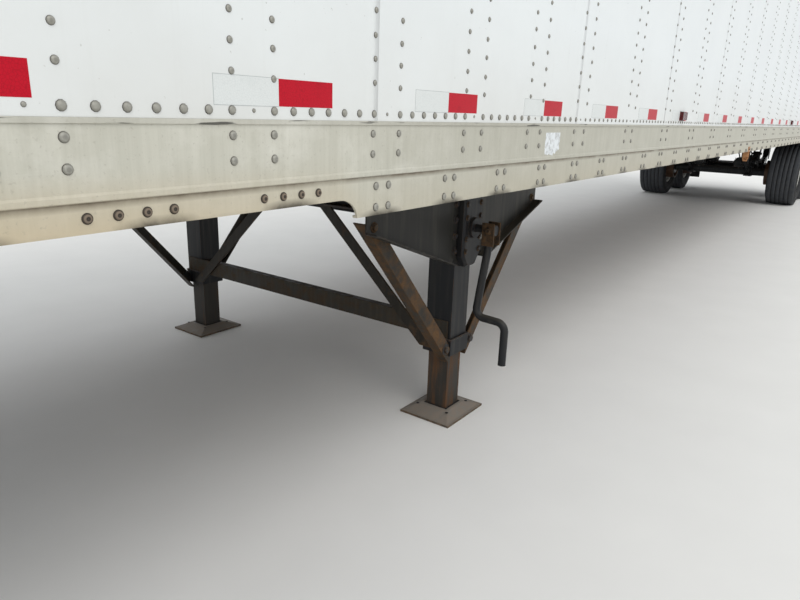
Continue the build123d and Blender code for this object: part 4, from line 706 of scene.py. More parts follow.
# Bonded sheet is dull silver. Puddle marks are 600 mm across, and the sheet swells between its bows.
roof_skin, tree, shader, place = new_finish("bonded_aluminium_roof_sheet", "C9CBCA", 0.55, 0.35)
apart = add(tree, "SeparateXYZ", {0: place})
bow = add(tree, "Math", {0: apart.outputs["X"], 1: -body_front - foot}, operation="ADD")
bow = add(tree, "Math", {0: bow, 1: 2 * foot}, operation="DIVIDE")
bow = add(tree, "Math", {0: bow, 1: 1.0}, operation="PINGPONG")
near_bow = add(tree, "MapRange", {0: bow, 1: 0.0, 2: 0.12, 3: 1.0, 4: 0.0})
puddle = add(tree, "TexNoise", {"Vector": place, "Scale": 1.6, "Detail": 8.0, "Roughness": 0.65})
lined = laid_over(tree, "CDCFCE", ((puddle, 0.38, 0.75, 0.6, "B3B1AA"), (near_bow, 0.0, 1.0, 0.25, "A9A79F")))
rough = add(tree, "MapRange", {0: puddle, 1: 0.35, 2: 0.65, 3: 0.50, 4: 0.64})
oil_can = add(tree, "TexNoise", {"Vector": place, "Scale": 2.6, "Detail": 1.0})
standing = add(tree, "Math", {0: oil_can, 1: near_bow}, operation="ADD")
bump = add(tree, "Bump", {"Height": standing, "Distance": 0.006, "Strength": 0.4})
feed(shader, {"Base Color": lined, "Roughness": rough, "Normal": bump})
paint(roof_skin, "roof_sheet")

strip_width, strip_length, strip_stagger = 0.032, 0.71, 0.37
# Each strip is 32 mm wide with a tone of its own. True grain is finer than 1 mm, and is drawn 4 mm.
oak_deck, tree, shader, place = new_finish("laminated_oak_deck", "8A6844", 0.6)
apart = add(tree, "SeparateXYZ", {0: place})
strip_number = add(tree, "Math", {0: apart.outputs["Y"], 1: strip_width}, operation="DIVIDE")
strip_floor = add(tree, "Math", {0: strip_number}, operation="FLOOR")
length_number = add(tree, "Math", {0: apart.outputs["X"], 1: strip_length}, operation="DIVIDE")
offset = add(tree, "Math", {0: strip_floor, 1: strip_stagger}, operation="MULTIPLY")
staggered = add(tree, "Math", {0: length_number, 1: offset}, operation="ADD")
length_floor = add(tree, "Math", {0: staggered}, operation="FLOOR")
which = add(tree, "CombineXYZ", {0: strip_floor, 1: length_floor, 2: 0.0})
tone = add(tree, "TexWhiteNoise", {"Vector": which}, noise_dimensions="3D").outputs["Value"]
board = add(tree, "Mix", {0: tone, 6: "77553A", 7: "A8845A"}, data_type="RGBA")
grain_place = add(tree, "Mapping", {"Vector": place, "Scale": (6.0, 240.0, 60.0)})
grain = add(tree, "TexNoise", {"Vector": grain_place, "Scale": 1.0, "Detail": 6.0})
seam = add(tree, "Math", {0: strip_number}, operation="FRACT")
seam = add(tree, "Math", {0: seam, 1: 0.06}, operation="LESS_THAN")
traffic = add(tree, "TexNoise", {"Vector": place, "Scale": 3.0, "Detail": 8.0, "Roughness": 0.7})
layers = (
    (grain, 0.4, 0.7, 0.45, "5B3F29"),
    (seam, 0.0, 1.0, 1.0, "33261B"),
    (traffic, 0.45, 0.7, 0.65, "4C463E"),
)
bump = add(tree, "Bump", {"Height": grain, "Distance": 0.0008, "Strength": 0.4})
feed(shader, {"Base Color": laid_over(tree, board, layers), "Normal": bump})
paint(oak_deck, "floor_deck")


# Tyres
# Four wide radial trailer tyres, one to a wheel: six plain ribs, five straight grooves and bare sidewalls.
# The rubber is dusty grey-black, greyer on the ribs and brown where the sidewalls flex.

axles = (("front", 5.944), ("rear", 7.189))
disc_y, disc_outset = 0.9842, 0.0508
tyre_radius = 0.505
tread_half = 0.193
groove_half, groove_depth = 0.0062, 0.0125
groove_places = 0.064 * np.arange(-2, 3)
crown_drop = 0.007
tyre_sides = 144

# Moulded rubber is matt. Dust lies in 45 mm clouds, and grit of 1 mm is drawn 2.4 mm so that it shows.
tyre_rubber, tree, shader, place = new_finish("radial_tyre_rubber", "2A2B2C", 0.78, Specular_IOR_Level=0.25)
part = add(tree, "Attribute", {}, attribute_name="tread").outputs["Fac"]
dust = add(tree, "TexNoise", {"Vector": place, "Scale": 22.0, "Detail": 8.0, "Roughness": 0.7})
grit = add(tree, "TexNoise", {"Vector": place, "Scale": 420.0, "Detail": 3.0})
side_tint, tread_tint = (
    laid_over(tree, own_tone, [(dust, 0.35, 0.75, 0.65, dusty)])
    for own_tone, dusty in (("202224", "43413E"), ("3A3D42", "525250"))
)
rubber_tint = add(tree, "Mix", {0: part, 6: side_tint, 7: tread_tint}, data_type="RGBA")
bump = add(tree, "Bump", {"Height": grit, "Distance": 0.0006, "Strength": 0.35})
feed(shader, {"Base Color": rubber_tint, "Normal": bump})


def curve(points, count):
    """A Bezier curve through four control points: each point times its Bernstein weight, added up."""
    t = np.linspace(0, 1, count)[:, None]
    a, b, c, d = (np.asarray(p, float) for p in points)
    return a * (1 - t) ** 3 + 3 * b * t * (1 - t) ** 2 + 3 * c * t**2 * (1 - t) + d * t**3


def tyre_section():
    """The closed outline from one bead over the tread to the other, as rows of (y, radius, tread share)."""
    steps = groove_half * np.array([-1.0, -0.7, 0.7, 1.0])
    cuts = (groove_places[:, None] + steps).ravel()
    middles = np.linspace(-tread_half, tread_half, 13)
    middles = middles[np.abs(middles[:, None] - groove_places).min(1) > 2 * groove_half]
    y = np.concatenate([cuts, middles])
    depth = np.concatenate([np.tile([0.0, groove_depth, groove_depth, 0.0], 5), 0 * middles])
    order = np.argsort(y)
    y, depth = y[order], depth[order]
    crown = tyre_radius - crown_drop * (y / tread_half) ** 2
    tread = np.stack([y, crown - depth, np.where(depth > 0, 0.15, 1.0)], 1)
    edge, widest_shoulder = (tread_half, tyre_radius - crown_drop), (0.2070, 0.468)
    shoulder = curve([edge, (0.2005, 0.497), (0.2045, 0.487), widest_shoulder], 6)[1:]
    flank = curve([widest_shoulder, (0.2240, 0.440), (0.2285, 0.375), (0.2050, 0.326)], 14)[1:]
    step = np.array([(0.0, 0.0), (0.0018, -0.001), (0.0018, -0.006), (0.0, -0.007)])
    toe = [(0.2035, 0.321), (0.2065, 0.315), (0.2035, 0.309)]
    seat = [(0.1850, 0.301), (0.1720, 0.2985), (0.1680, 0.2905)]
    upper = [shoulder, flank[:3], flank[3] + step, flank[5:9]]
    side = np.concatenate([*upper, flank[9] + step, flank[11:], toe, seat])
    right = np.column_stack([side, smooth_step(0.462, 0.498, side[:, 1])])
    whole = np.concatenate([right[::-1] * (-1, 1, 1), tread, right])
    return np.concatenate([whole, whole[:1]])


section = tyre_section()
for axle, x in axles:
    for side, hand in hands:
        y, radius = section[:, 0, None] + side * (disc_y + disc_outset), section[:, 1, None]
        t = round_steps(tyre_sides)
        points = at(x + radius * np.sin(t), y, tyre_radius + radius * np.cos(t))
        faces = grid_faces(len(section), tyre_sides, closed=True)
        node, body = f"{axle}_{hand}_tyres", f"{axle}_{hand}_wheels"
        tyre = mesh_piece(f"{node}_treaded", points, [faces], tyre_rubber, body, True)
        share = np.repeat(section[:, 2], tyre_sides).astype(np.float32)
        tyre.data.attributes.new("tread", "FLOAT", "POINT").data.foreach_set("value", share)
        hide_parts(node)


# Wheels, hubs and drums
# Wide steel discs in white enamel on iron hubs, with cast brake drums behind them and bare hub caps.
# Ten flanged nuts hold each disc. Rust runs from the nuts and hand holes, and road film dulls the rest.

drum_radius, cap_radius = 0.238, 0.108
# Enamel is satin under road film in 70 mm clouds, and its chips are 8 mm. Iron is brown with rust.
wheel_finishes = {}
for axle, x in axles:
    enamel, tree, shader, place = new_finish(f"{axle}_wheel_enamel_and_castings", "C9C8C2", 0.48)
    apart = add(tree, "SeparateXYZ", {0: place})
    along = add(tree, "Math", {0: apart.outputs["X"], 1: x}, operation="SUBTRACT")
    high = add(tree, "Math", {0: apart.outputs["Z"], 1: tyre_radius}, operation="SUBTRACT")
    flat = add(tree, "CombineXYZ", {0: along, 1: high, 2: 0.0})
    radius = add(tree, "VectorMath", {0: flat}, operation="LENGTH").outputs["Value"]
    across = add(tree, "Math", {0: apart.outputs["Y"]}, operation="ABSOLUTE")
    film = add(tree, "TexNoise", {"Vector": place, "Scale": 14.0, "Detail": 9.0, "Roughness": 0.68})
    fine = add(tree, "TexNoise", {"Vector": place, "Scale": 130.0, "Detail": 5.0, "Roughness": 0.7})
    filmed = add(tree, "MapRange", {0: film, 1: 0.35, 2: 0.7, 3: 0.12, 4: 0.75})
    near_nuts = add(tree, "MapRange", {0: radius, 1: 0.185, 2: 0.150, 3: 0.0, 4: 0.55})
    stain = add(tree, "Math", {0: near_nuts, 1: film}, operation="MULTIPLY")
    chips = add(tree, "MapRange", {0: fine, 1: 0.66, 2: 0.72, 3: 0.0, 4: 0.7})
    rusty = add(tree, "Math", {0: stain, 1: chips}, operation="MAXIMUM")
    inboard = add(tree, "MapRange", {0: across, 1: 0.987, 2: 0.981, 3: 0.0, 4: 1.0})
    inside = add(tree, "MapRange", {0: radius, 1: drum_radius + 0.005, 2: drum_radius, 3: 0.0, 4: 1.0})
    casting = add(tree, "Math", {0: inboard, 1: inside}, operation="MULTIPLY")
    iron = add(tree, "Mix", {0: fine, 6: "2E241D", 7: "74543D"}, data_type="RGBA")
    outboard = add(tree, "MapRange", {0: across, 1: 1.0, 2: 1.004, 3: 0.0, 4: 1.0})
    in_cap = add(tree, "MapRange", {0: radius, 1: cap_radius + 0.004, 2: cap_radius, 3: 0.0, 4: 1.0})
    capped = add(tree, "Math", {0: outboard, 1: in_cap}, operation="MULTIPLY")
    bare = add(tree, "Mix", {0: film, 6: "9FA1A1", 7: "7A756C"}, data_type="RGBA")
    tint = "CFCFCA"
    for amount, over in ((filmed, "8F8A80"), (rusty, "6E4A31"), (casting, iron), (capped, bare)):
        tint = add(tree, "Mix", {0: amount, 6: tint, 7: over}, data_type="RGBA")
    shine = add(tree, "Math", {0: capped, 1: 0.7}, operation="MULTIPLY")
    rough = add(tree, "MapRange", {0: filmed, 1: 0.1, 2: 0.8, 3: 0.36, 4: 0.75})
    bump = add(tree, "Bump", {"Height": fine, "Distance": 0.0008, "Strength": 0.3})
    feed(shader, {"Base Color": tint, "Metallic": shine, "Roughness": rough, "Normal": bump})
    wheel_finishes[axle] = enamel

# Zinc plate is a dull silver that rusts through in spots of 6 mm.
nut_steel, tree, shader, place = new_finish("rusty_zinc_plated_nut", "8A8279", 0.5, 0.5)
rub = add(tree, "TexNoise", {"Vector": place, "Scale": 160.0, "Detail": 4.0})
feed(shader, {"Base Color": laid_over(tree, "9A958C", [(rub, 0.4, 0.62, 1.0, "6B4B33")])})

nut_foot, nut_top = [(1.0, 0, 0), (1.0, 0.12, 0), (0.86, 0.16, 1)], [(0.86, 1.15, 1), (0.76, 1.28, 1)]
NUT = np.array([*nut_foot, *nut_top, (0.50, 1.28, 1)])
STUD = np.array([(0.46, 1.0, 1), (0.46, 1.95, 1), (0.40, 2.02, 1)])
FLAT_DOME = LOW_DOME * (1, 0.4, 1)
disc_face, nut_circle, nut_radius = 0.012, 0.1429, 0.0185
cap_end, cap_flange, cap_circle = 0.150, 0.0045, 0.066
for axle, x in axles:
    for side, hand in hands:
        paint(wheel_finishes[axle], f"{axle}_{hand}_wheel")
        body, out = f"{axle}_{hand}_wheels", (0, side, 0)
        t = round_steps(10)
        y = side * (disc_y + disc_face)
        nuts = at(x + nut_circle * np.sin(t), y, tyre_radius + nut_circle * np.cos(t))
        for label, shape, sides in (("nuts", NUT, 6), ("studs", STUD, 12)):
            name = f"{axle}_{hand}_wheel_{label}"
            studs(name, nuts, out, nut_radius, nut_steel, shape, sides, False, body)
        t = round_steps(6) + np.pi / 6
        y = side * (disc_y + cap_end - cap_flange)
        places = at(x + cap_circle * np.sin(t), y, tyre_radius + cap_circle * np.cos(t))
        studs(f"{axle}_{hand}_cap_bolts", places, out, 0.0062, nut_steel, NUT, 6, False, body)
        plug = [(x, side * (disc_y + cap_end), tyre_radius)]
        studs(f"{axle}_{hand}_cap_window", plug, out, 0.026, tape_edge, FLAT_DOME, 24, True, body)


# Rear frame, bows and under-ride guard
# Pressed and welded steel, hot-dip galvanised: a soft grey with spangles the size of a coin.
# Road salt has left white bloom low down, and the cut edges and welds have started to rust.

# Zinc freezes into flat crystals 21 mm across, each its own grey, and salt blooms in 140 mm clouds.
galvanised, tree, shader, place = new_finish("hot_dip_galvanised_steel", "9DA1A2", 0.45, 0.45)
spangle = add(tree, "TexVoronoi", {"Vector": place, "Scale": 48.0})
flake = add(tree, "RGBToBW", {0: spangle.outputs["Color"]})
bloom_noise = add(tree, "TexNoise", {"Vector": place, "Scale": 7.0, "Detail": 9.0, "Roughness": 0.7})
apart = add(tree, "SeparateXYZ", {0: place})
salted = add(tree, "MapRange", {0: apart.outputs["Z"], 1: 1.35, 2: 0.5, 3: 0.25, 4: 0.75})
bloom = add(tree, "MapRange", {0: bloom_noise, 1: 0.42, 2: 0.7, 3: 0.0, 4: 1.0})
bloomed = add(tree, "Math", {0: bloom, 1: salted}, operation="MULTIPLY")
edge, rounded, _ = worn_edges(tree, 0.24)
patchy = add(tree, "Math", {0: bloom_noise, 1: edge}, operation="ADD")
layers = (
    (flake, 0.1, 0.9, 1.0, "AFB3B4"),
    (bloomed, 0.0, 1.0, 1.0, "B9B6AC"),
    (patchy, 0.66, 0.76, 0.8, "7C5335"),
)
rough = add(tree, "MapRange", {0: bloomed, 1: 0.0, 2: 0.8, 3: 0.38, 4: 0.72})
feed(shader, {"Base Color": laid_over(tree, "8B9092", layers), "Roughness": rough, "Normal": rounded})
paint(galvanised, "rear_frame", "impact_guard", "roof_bows", "left_lock_gear", "right_lock_gear")


# Doors and their seals
# Plywood cored panels skinned in white steel, in an aluminium edge, with a rubber lip seal all round.
# Forged hinge straps and bearing plates are bolted through, and tape runs along each door's foot.

# Rubber is matt black, scuffed in 55 mm patches. Its pits are drawn 4 mm so that they show.
black_rubber, tree, shader, place = new_finish("extruded_black_rubber", "1E1E1F", 0.72)
scuff = add(tree, "TexNoise", {"Vector": place, "Scale": 18.0, "Detail": 8.0, "Roughness": 0.7})
chalky = laid_over(tree, "1D1D1E", [(scuff, 0.45, 0.72, 0.55, "56534E")])
pits = add(tree, "TexNoise", {"Vector": place, "Scale": 260.0, "Detail": 3.0})
bump = add(tree, "Bump", {"Height": pits, "Distance": 0.0008, "Strength": 0.4})
feed(shader, {"Base Color": chalky, "Normal": bump})

rear_face, door_face = 8.077, 8.072
door_low, door_high = 1.2096, 3.8836
door_inner, door_outer = 0.006, 1.2195
seal, lip = 0.026, 0.0045
edge_row, edge_pitch = 0.045, 0.0762
strap_heights, strap_bolts_y, strap_half = (1.3896, 2.1609, 2.9323, 3.7036), (1.02, 1.10, 1.17), 0.018
rod_places, bearing_heights = (0.9935, 0.3935), (1.2696, 2.1096, 2.9836, 3.8236)
bearing_face, bearing_half = 8.102, 0.022
for side, hand in hands:
    body, out = f"{hand}_rear_door", (1, 0, 0)
    inner, outer = sorted((side * door_inner, side * door_outer))
    lows = [(door_face, inner, z) for z in (door_low, door_high - seal)]
    highs = [(door_face + lip, outer, z) for z in (door_low + seal, door_high)]
    lows += [(door_face, y, door_low + seal) for y in (inner, outer - seal)]
    highs += [(door_face + lip, y + seal, door_high - seal) for y in (inner, outer - seal)]
    slabs(f"{hand}_door_seal", lows, highs, black_rubber, 0.0015, body, "flap_rubber")
    y = side * np.arange(door_inner + 0.060, door_outer - 0.03, edge_pitch)
    places = at(door_face, *np.meshgrid(y, (door_low + edge_row, door_high - edge_row)))
    studs(f"{hand}_door_edge_rivets", places, out, 0.0052, rivet_alloy, LOW_DOME, 10, True, body)
    z = np.add.outer(strap_heights, (-strap_half, strap_half)).ravel()
    z, y = np.meshgrid(z, strap_bolts_y, indexing="ij")
    bolts(f"{hand}_hinge_strap_bolts", at(door_face + 0.007, side * y, z), out, 0.0065, nut_steel, body)
    y, z, dy = np.meshgrid(rod_places, bearing_heights, (-bearing_half, bearing_half), indexing="ij")
    places = at(bearing_face, side * y + dy, z)
    bolts(f"{hand}_rod_bearing_bolts", places, out, 0.0055, nut_steel, body)

stripes = (tape_finishes["red"], tape_finishes["white"])
tape_thick = 0.0006
for side, hand in hands:
    inner, outer = sorted((side * 0.045, side * 1.17))
    for number, y in enumerate(np.arange(inner, outer - 0.10, block_length)):
        low = (door_face, y, 1.262)
        high = (door_face + tape_thick, min(y + block_length - 0.0006, outer), 1.313)
        name = f"{hand}_door_tape_{number + 1:02d}"
        slabs(name, [low], [high], stripes[number % 2], body=f"{hand}_rear_door")
for number, y in enumerate(np.arange(-1.219, 1.219 - 0.10, block_length)):
    low, high = (8.0728, y, 0.486), (8.0738, y + block_length - 0.0006, 0.537)
    slabs(f"guard_tape_{number + 1:02d}", [low], [high], stripes[number % 2])
corner_tape = [((1.252, 3.700), (1.288, 4.000)), ((0.95, 3.9746), (1.252, 4.000))]
for side, hand in hands:
    for number, ((y0, low), (y1, high)) in enumerate(corner_tape):
        y0, y1 = sorted((side * y0, side * y1))
        name = f"{hand}_corner_tape_{number + 1}"
        slabs(name, [(rear_face, y0, low)], [(rear_face + tape_thick, y1, high)], stripes[1])


# Lamps
# Red acrylic lamps in rubber grommets on the sill and header, and small marker lamps down both sides.
# Each lens is moulded with small prisms inside, so it reads as a fine net over a darker bowl.

amber_ahead_of = -5.0
# The prisms are 2 mm apart in truth, and are drawn 6 mm apart so that the net shows.
lens_finishes = {}
for name, colour, deep in (("red", "A3141A", "5E080D"), ("side", "5C0E12", "33070A")):
    lens, tree, shader, place = new_finish(f"{name}_acrylic_lens", colour, 0.2, Specular_IOR_Level=0.35)
    prism = add(tree, "TexVoronoi", {"Vector": place, "Scale": 170.0}, feature="DISTANCE_TO_EDGE")
    netted = laid_over(tree, colour, [(prism, 0.16, 0.03, 1.0, deep)])
    if name == "side":
        along = add(tree, "SeparateXYZ", {0: place}).outputs["X"]
        ahead_of = add(tree, "Math", {0: along, 1: amber_ahead_of}, operation="LESS_THAN")
        amber = laid_over(tree, "D9760F", [(prism, 0.16, 0.03, 1.0, "9A4E08")])
        netted = add(tree, "Mix", {0: ahead_of, 6: netted, 7: amber}, data_type="RGBA")
    bump = add(tree, "Bump", {"Height": prism, "Distance": 0.0012, "Strength": 0.5})
    feed(shader, {"Base Color": netted, "Normal": bump})
    lens_finishes[name] = lens
paint(lens_finishes["red"], "rear_lamps")
paint(lens_finishes["side"], "side_lamps")

GROMMET = np.array([(1.16, 0, 0.2), (1.16, 0.07, 1), (1.09, 0.12, 1), (1.0, 0.11, 1), (0.985, 0.04, 0.5)])
LENS = np.array([(0.97, 0, 1), (0.94, 0.06, 1), (0.84, 0.10, 1), (0.60, 0.14, 1), (0.30, 0.16, 1)])


def round_lamps(label, x, spots, radius, out, lens):
    """A grommet and a lens at each (y, z) on a face across the trailer, the lens 4 mm out of the face."""
    y, z = np.transpose(spots)
    studs(f"{label}_lamp_grommets", at(x, y, z), (out, 0, 0), radius, black_rubber, GROMMET, 28)
    studs(f"{label}_lamp_lenses", at(x + out * 0.004, y, z), (out, 0, 0), radius, lens, LENS, 28)


sill_z, header_z = 1.1308, 3.9506
sill_lamps = [(side * y, sill_z) for y in (0.860, 0.720) for side in (-1, 1)]
header_lamps = [(y, header_z) for y in (0.0, -0.160, 0.160, -1.180, 1.180)]
round_lamps("sill", rear_face, sill_lamps, 0.054, 1, lens_finishes["red"])
round_lamps("header", rear_face, header_lamps, 0.032, 1, lens_finishes["red"])
lamp_x, base_half, base_proud = np.array([-7.817, -2.6923, 2.6923, 7.817]), 0.047, 0.007
for side, hand in hands:
    y0, y1 = sorted((side * rail_face, side * (rail_face + base_proud)))
    lows, highs = at(lamp_x - base_half, y0, 1.306), at(lamp_x + base_half, y1, 1.356)
    slabs(f"{hand}_side_lamp_bases", lows, highs, black_rubber, 0.003)


# Dock bumpers, flaps and what bolts them on
# Moulded black rubber, scuffed grey. The bumpers have two recessed bolts each.
# The flaps hang from a clamp strip on their brackets, and their lower halves are ribbed.

paint(black_rubber, "dock_bumpers", "mud_flaps")
bumper_face, recess_floor = 8.137 - 0.004, 0.0045
places = [(bumper_face, side * y, 1.121) for side in (-1, 1) for y in (1.155, 1.226)]
# Flat black discs stand for the bumpers' bolt recesses: painted shade.
recess = FLUSH * (1, 0.2, 1) + (0, 0.215, 0)
studs("dock_bumper_recess_shades", places, (1, 0, 0), 0.019, hole_shade, recess, 20)
bolts("dock_bumper_bolts", np.add(places, (recess_floor, 0, 0)), (1, 0, 0), 0.0075, nut_steel)
flap_front, flap_back, flap_inner, flap_outer = 7.789, 7.797, 0.6895, 1.2895
clamp_front = flap_front - 0.005
ribs, rib_half = np.linspace(0.235, 0.56, 12), 0.0045
for side, hand in hands:
    inner, outer = sorted((side * flap_inner, side * flap_outer))
    clamp = [(clamp_front, inner + 0.01, 0.885)], [(flap_front, outer - 0.01, 0.925)]
    slabs(f"{hand}_flap_clamp", *clamp, galvanised, 0.0012)
    places = at(clamp_front, np.linspace(inner + 0.05, outer - 0.05, 6), 0.905)
    bolts(f"{hand}_flap_bolts", places, (-1, 0, 0), 0.0075, nut_steel)
    lows = at(flap_back, inner + 0.04, ribs - rib_half)
    slabs(f"{hand}_flap_ribs", lows, lows + (0.0035, 0.52, 2 * rib_half), black_rubber, 0.001)


# Coupler, king pin and nose connectors
# The king pin is forged steel, polished by the fifth wheel's jaws and still greasy round its collar.
# The air couplings are coded blue and red, and the cable socket has a sprung cast lid.

pin_foot = (-7.1626, 0.0, 1.106)
# Dull enamel in 110 mm smears of dirt. Grease near the pin is black, and shines where paint doesn't.
coupler_paint, tree, shader, place = new_finish(
    "greased_coupler_plate", "2B2C2E", 0.42, Specular_IOR_Level=0.3
)
from_pin = add(tree, "VectorMath", {0: place, 1: pin_foot}, operation="DISTANCE").outputs["Value"]
smear = add(tree, "TexNoise", {"Vector": place, "Scale": 9.0, "Detail": 8.0, "Roughness": 0.7})
reach_of_grease = add(tree, "MapRange", {0: from_pin, 1: 0.62, 2: 0.25, 3: 0.0, 4: 1.0})
grease_share = add(tree, "Math", {0: reach_of_grease, 1: smear}, operation="MULTIPLY")
layers = ((smear, 0.58, 0.70, 0.8, "6A5848"), (grease_share, 0.20, 0.42, 1.0, "0E0D0C"))
wet = add(tree, "MapRange", {0: grease_share, 1: 0.20, 2: 0.42, 3: 0.62, 4: 0.24})
feed(shader, {"Base Color": laid_over(tree, "2D2E30", layers), "Roughness": wet})
paint(coupler_paint, "upper_coupler")

# Forged steel rubbed bright, its grease in 26 mm smears.
pin_steel, tree, shader, place = new_finish("greased_forged_king_pin", "77756F", 0.34, 0.8)
grease = add(tree, "TexNoise", {"Vector": place, "Scale": 38.0, "Detail": 6.0})
feed(shader, {"Base Color": laid_over(tree, "8C8A84", [(grease, 0.42, 0.62, 0.85, "241F19")])})
paint(pin_steel, "king_pin")

plate_face, coupling_y = -8.081, 0.09
# Gloss paint on cast alloy, chipped to the metal in 11 mm spots. The plate behind is bare.
connector, tree, shader, place = new_finish("painted_connector_castings", "8F9294", 0.45, 0.2)
apart = add(tree, "SeparateXYZ", {0: place})
proud = add(tree, "Math", {0: apart.outputs["X"], 1: plate_face - 0.004}, operation="LESS_THAN")
on_left = add(tree, "Math", {0: apart.outputs["Y"], 1: -coupling_y}, operation="LESS_THAN")
on_right = add(tree, "Math", {0: apart.outputs["Y"], 1: coupling_y}, operation="GREATER_THAN")
scratch = add(tree, "TexNoise", {"Vector": place, "Scale": 90.0, "Detail": 7.0, "Roughness": 0.7})
layers = (
    (on_left, 0.0, 1.0, 1.0, "1F4E8C"),
    (on_right, 0.0, 1.0, 1.0, "A61E1C"),
    (scratch, 0.56, 0.62, 0.9, "8D8A82"),
)
worn = laid_over(tree, "26282B", layers)
plate = add(tree, "Mix", {0: scratch, 6: "8A8D8F", 7: "A5A8A9"}, data_type="RGBA")
whole = add(tree, "Mix", {0: proud, 6: plate, 7: worn}, data_type="RGBA")
bump = add(tree, "Bump", {"Height": scratch, "Distance": 0.0006, "Strength": 0.35})
feed(shader, {"Base Color": whole, "Normal": bump})
paint(connector, "nose_connectors")
y, z = np.meshgrid((-0.225, 0.225), (1.415, 1.525), indexing="ij")
bolts("connector_plate_bolts", at(plate_face, y, z), (-1, 0, 0), 0.006, nut_steel)


# Brake and air fittings
# A ring of studs clamps the two halves of each brake chamber, and a braided hose feeds it from above.
# The air tank's dished ends are welded in, and a drain valve stands at its foot.

chamber_y, chamber_z, chamber_studs, band_behind = 0.320, 0.655, 0.094, 0.158
hose_foot, hose_radius = (-0.20, 0.735), 0.0095
# The braid's stitch is about 1 mm in truth, and is drawn 4 mm so that it shows.
hose_rubber, tree, shader, place = new_finish("braided_brake_hose", "232324", 0.62)
braid_place = add(tree, "Mapping", {"Vector": place, "Scale": (260.0, 260.0, 260.0)})
braid = add(tree, "TexVoronoi", {"Vector": braid_place, "Scale": 1.0})
braided = add(tree, "Mix", {0: braid, 6: "161617", 7: "47443F"}, data_type="RGBA")
bump = add(tree, "Bump", {"Height": braid, "Distance": 0.0008, "Strength": 0.5})
feed(shader, {"Base Color": braided, "Normal": bump})

for axle, x in axles:
    for side, hand in hands:
        t, y = round_steps(8), side * chamber_y
        places = at(x - band_behind, y + chamber_studs * np.sin(t), chamber_z + chamber_studs * np.cos(t))
        name = f"{axle}_{hand}_chamber_studs"
        studs(name, places, (-1, 0, 0), 0.0075, nut_steel, HEX, 6, False)
        start = np.array([x + hose_foot[0], y, hose_foot[1]])
        bends = [(0, 0, 0), (0, 0, 0.07), (-0.05, -side * 0.05, 0.13), (-0.16, -side * 0.10, 0.16)]
        tube(f"{axle}_{hand}_brake_line", curve(start + bends, 18), hose_radius, hose_rubber, 12)

tank_x, tank_z, tank_radius, tank_half = 4.9042, 0.921, 0.120, 0.310
weld_circle, weld_inset = tank_radius * 0.955, 0.012
for side, hand in hands:
    t = round_steps(40)
    y = side * (tank_half - weld_inset)
    loop = at(tank_x + weld_circle * np.sin(t), y, tank_z + weld_circle * np.cos(t))
    tube(f"{hand}_tank_end_weld", loop, 0.0045, weld_bead, 6, True, 0.25)
drain = [(tank_x, 0, tank_z - tank_radius + 0.002)]
studs("tank_drain_valve", drain, (0, 0, -1), 0.012, nut_steel, NUT, 6, False)


# Sticker and worn strap on the left rail
# A silver foil sticker, torn along its foot and left blank, stands behind the landing leg.
# Farther back a bent flat bar, painted orange long ago, hooks under the rail's lower edge.

# Aluminium foil mirrors softly, and is creased every 14 mm.
foil, tree, shader, place = new_finish("torn_silver_foil_sticker", "D9DCDE", 0.32, 0.35)
crinkle = add(tree, "TexNoise", {"Vector": place, "Scale": 70.0, "Detail": 6.0, "Roughness": 0.6})
soiled = laid_over(tree, "E6EAEC", [(crinkle, 0.45, 0.66, 0.8, "A9AAA8")])
bump = add(tree, "Bump", {"Height": crinkle, "Distance": 0.0015, "Strength": 0.5})
feed(shader, {"Base Color": soiled, "Normal": bump})


def prism(name, near, far, finish):
    """A solid between two like outlines: side faces from one to the other, and a lid on each."""
    faces = [grid_faces(2, len(near), closed=True), end_caps(2, len(near))]
    return mesh_piece(name, np.concatenate([near, far]), faces, finish)


sticker_corners = [(-4.533, 1.249), (-4.533, 1.176), (-4.470, 1.170), (-4.408, 1.190), (-4.408, 1.249)]
foil_thick, torn_from, torn_to, torn_by = 0.0004, 1.240, 1.200, 0.0022
sticker = dense(sticker_corners, 0.004)
ragged = smooth_step(torn_from, torn_to, sticker[:, 1])
x, z = (sticker + rng.normal(0, torn_by, sticker.shape) * ragged[:, None]).T
prism("torn_sticker", at(x, -rail_face, z), at(x, -rail_face - foil_thick, z), foil)

strap_paint = painted_steel("worn_orange_strap", "BE8A60", "8E5A36", "A39583", (0.50, 0.62), 0.30, 30.0)
strap_x, strap_thick = -0.080, 0.004
strap_face = -rail_face - strap_thick
tab = [(strap_x - 0.085, strap_face, 1.058)], [(strap_x, -rail_face, 1.104)]
slabs("strap_tab", *tab, strap_paint, 0.001)
hook_y = (-1.2965, -1.2965, -1.285, -1.252, -1.243, -1.243)
hook_z = (1.060, 1.000, 0.972, 0.972, 1.000, 1.060)
near, far = at(strap_x - strap_thick, hook_y, hook_z), at(strap_x, hook_y, hook_z)
prism("strap_hanger", near, far, strap_paint)
bolts("strap_bolt", [(strap_x - 0.045, strap_face, 1.082)], (0, -1, 0), 0.009, nut_steel)


# Lining inside the walls
# Plywood sheets, four feet wide, screwed to the posts above a galvanised band that takes the pallets.
# The plywood is grey with handling low down, and its grain runs upright.

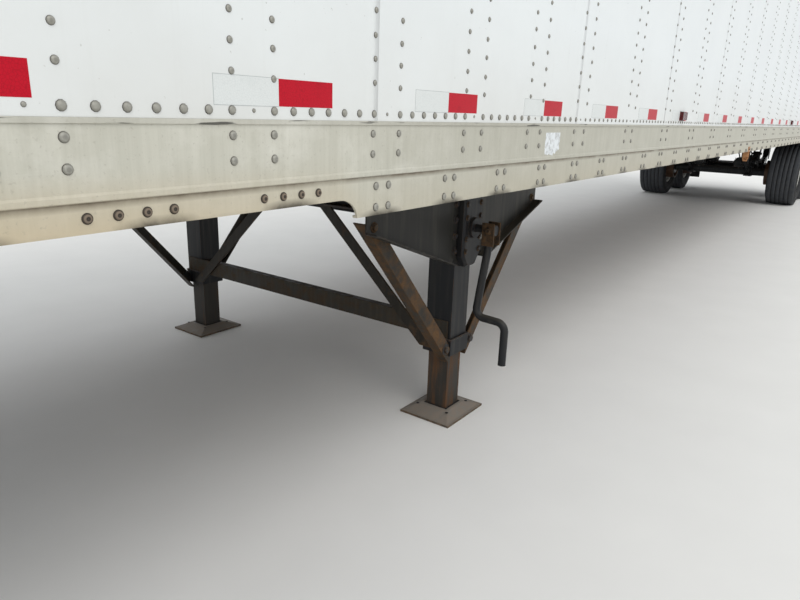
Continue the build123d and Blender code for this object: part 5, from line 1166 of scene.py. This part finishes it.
# Fir veneer shows bands 14 mm apart and 330 mm long, under hand marks 400 mm across.
plywood, tree, shader, place = new_finish("fir_plywood_lining", "B99A6E", 0.62)
grain_place = add(tree, "Mapping", {"Vector": place, "Scale": (70.0, 70.0, 3.0)})
grain = add(tree, "TexNoise", {"Vector": grain_place, "Scale": 1.0, "Detail": 6.0, "Distortion": 0.6})
handled = add(tree, "TexNoise", {"Vector": place, "Scale": 2.5, "Detail": 8.0, "Roughness": 0.7})
apart = add(tree, "SeparateXYZ", {0: place})
low_down = add(tree, "MapRange", {0: apart.outputs["Z"], 1: 3.0, 2: 1.5, 3: 0.15, 4: 0.8})
greyed = add(tree, "MapRange", {0: handled, 1: 0.35, 2: 0.7, 3: 0.0, 4: 1.0})
grey_share = add(tree, "Math", {0: greyed, 1: low_down}, operation="MULTIPLY")
veneer = laid_over(tree, "A78558", ((grain, 0.0, 1.0, 1.0, "CFB384"), (grey_share, 0.0, 1.0, 1.0, "8C7C66")))
bump = add(tree, "Bump", {"Height": grain, "Distance": 0.0008, "Strength": 0.3})
feed(shader, {"Base Color": veneer, "Normal": bump})

inner_wall, lining_thick, sheet_gap = 1.2505, 0.006, 0.006
deck_top, band_top, lining_top = 1.2016, 1.5016, 3.965
screw_heights = np.arange(1.56, 3.95, 0.30)
bands = (("scuff_band", deck_top, band_top, galvanised), ("lining", band_top, lining_top, plywood))
starts = np.arange(body_front + 0.008, body_back - 0.05, sheet_width)
ends = np.minimum(starts + sheet_width - sheet_gap, body_back)
inside = posts[(posts > body_front + 0.1) & (posts < body_back - 0.05)]
for side, hand in hands:
    face = side * (inner_wall - lining_thick)
    y0, y1 = sorted((side * inner_wall, face))
    for label, low, high, finish in bands:
        slabs(f"{hand}_{label}", at(starts, y0, low), at(ends, y1, high), finish)
    x, z = np.meshgrid(inside, screw_heights)
    name = f"{hand}_lining_screws"
    studs(name, at(x, face, z), (0, -side, 0), 0.006, rivet_alloy, FLAT_DOME, 8)
left_edges, right_edges = np.array([(-1.2445, -0.6126), (-0.6096, 0.6066), (0.6096, 1.2445)]).T
for label, low, high, finish in bands:
    lows, highs = at(body_front, left_edges, low), at(body_front + lining_thick, right_edges, high)
    slabs(f"nose_{label}", lows, highs, finish)


# Front clearance lamps
# Small round amber lamps in rubber grommets, let into the nose top rail near its corners.
# They mark the trailer's height and width to those ahead, and are the rear lamps' kind in amber.

round_lamps("front", nose_face, [(-1.05, 3.948), (1.05, 3.948)], 0.032, -1, lens_finishes["side"])
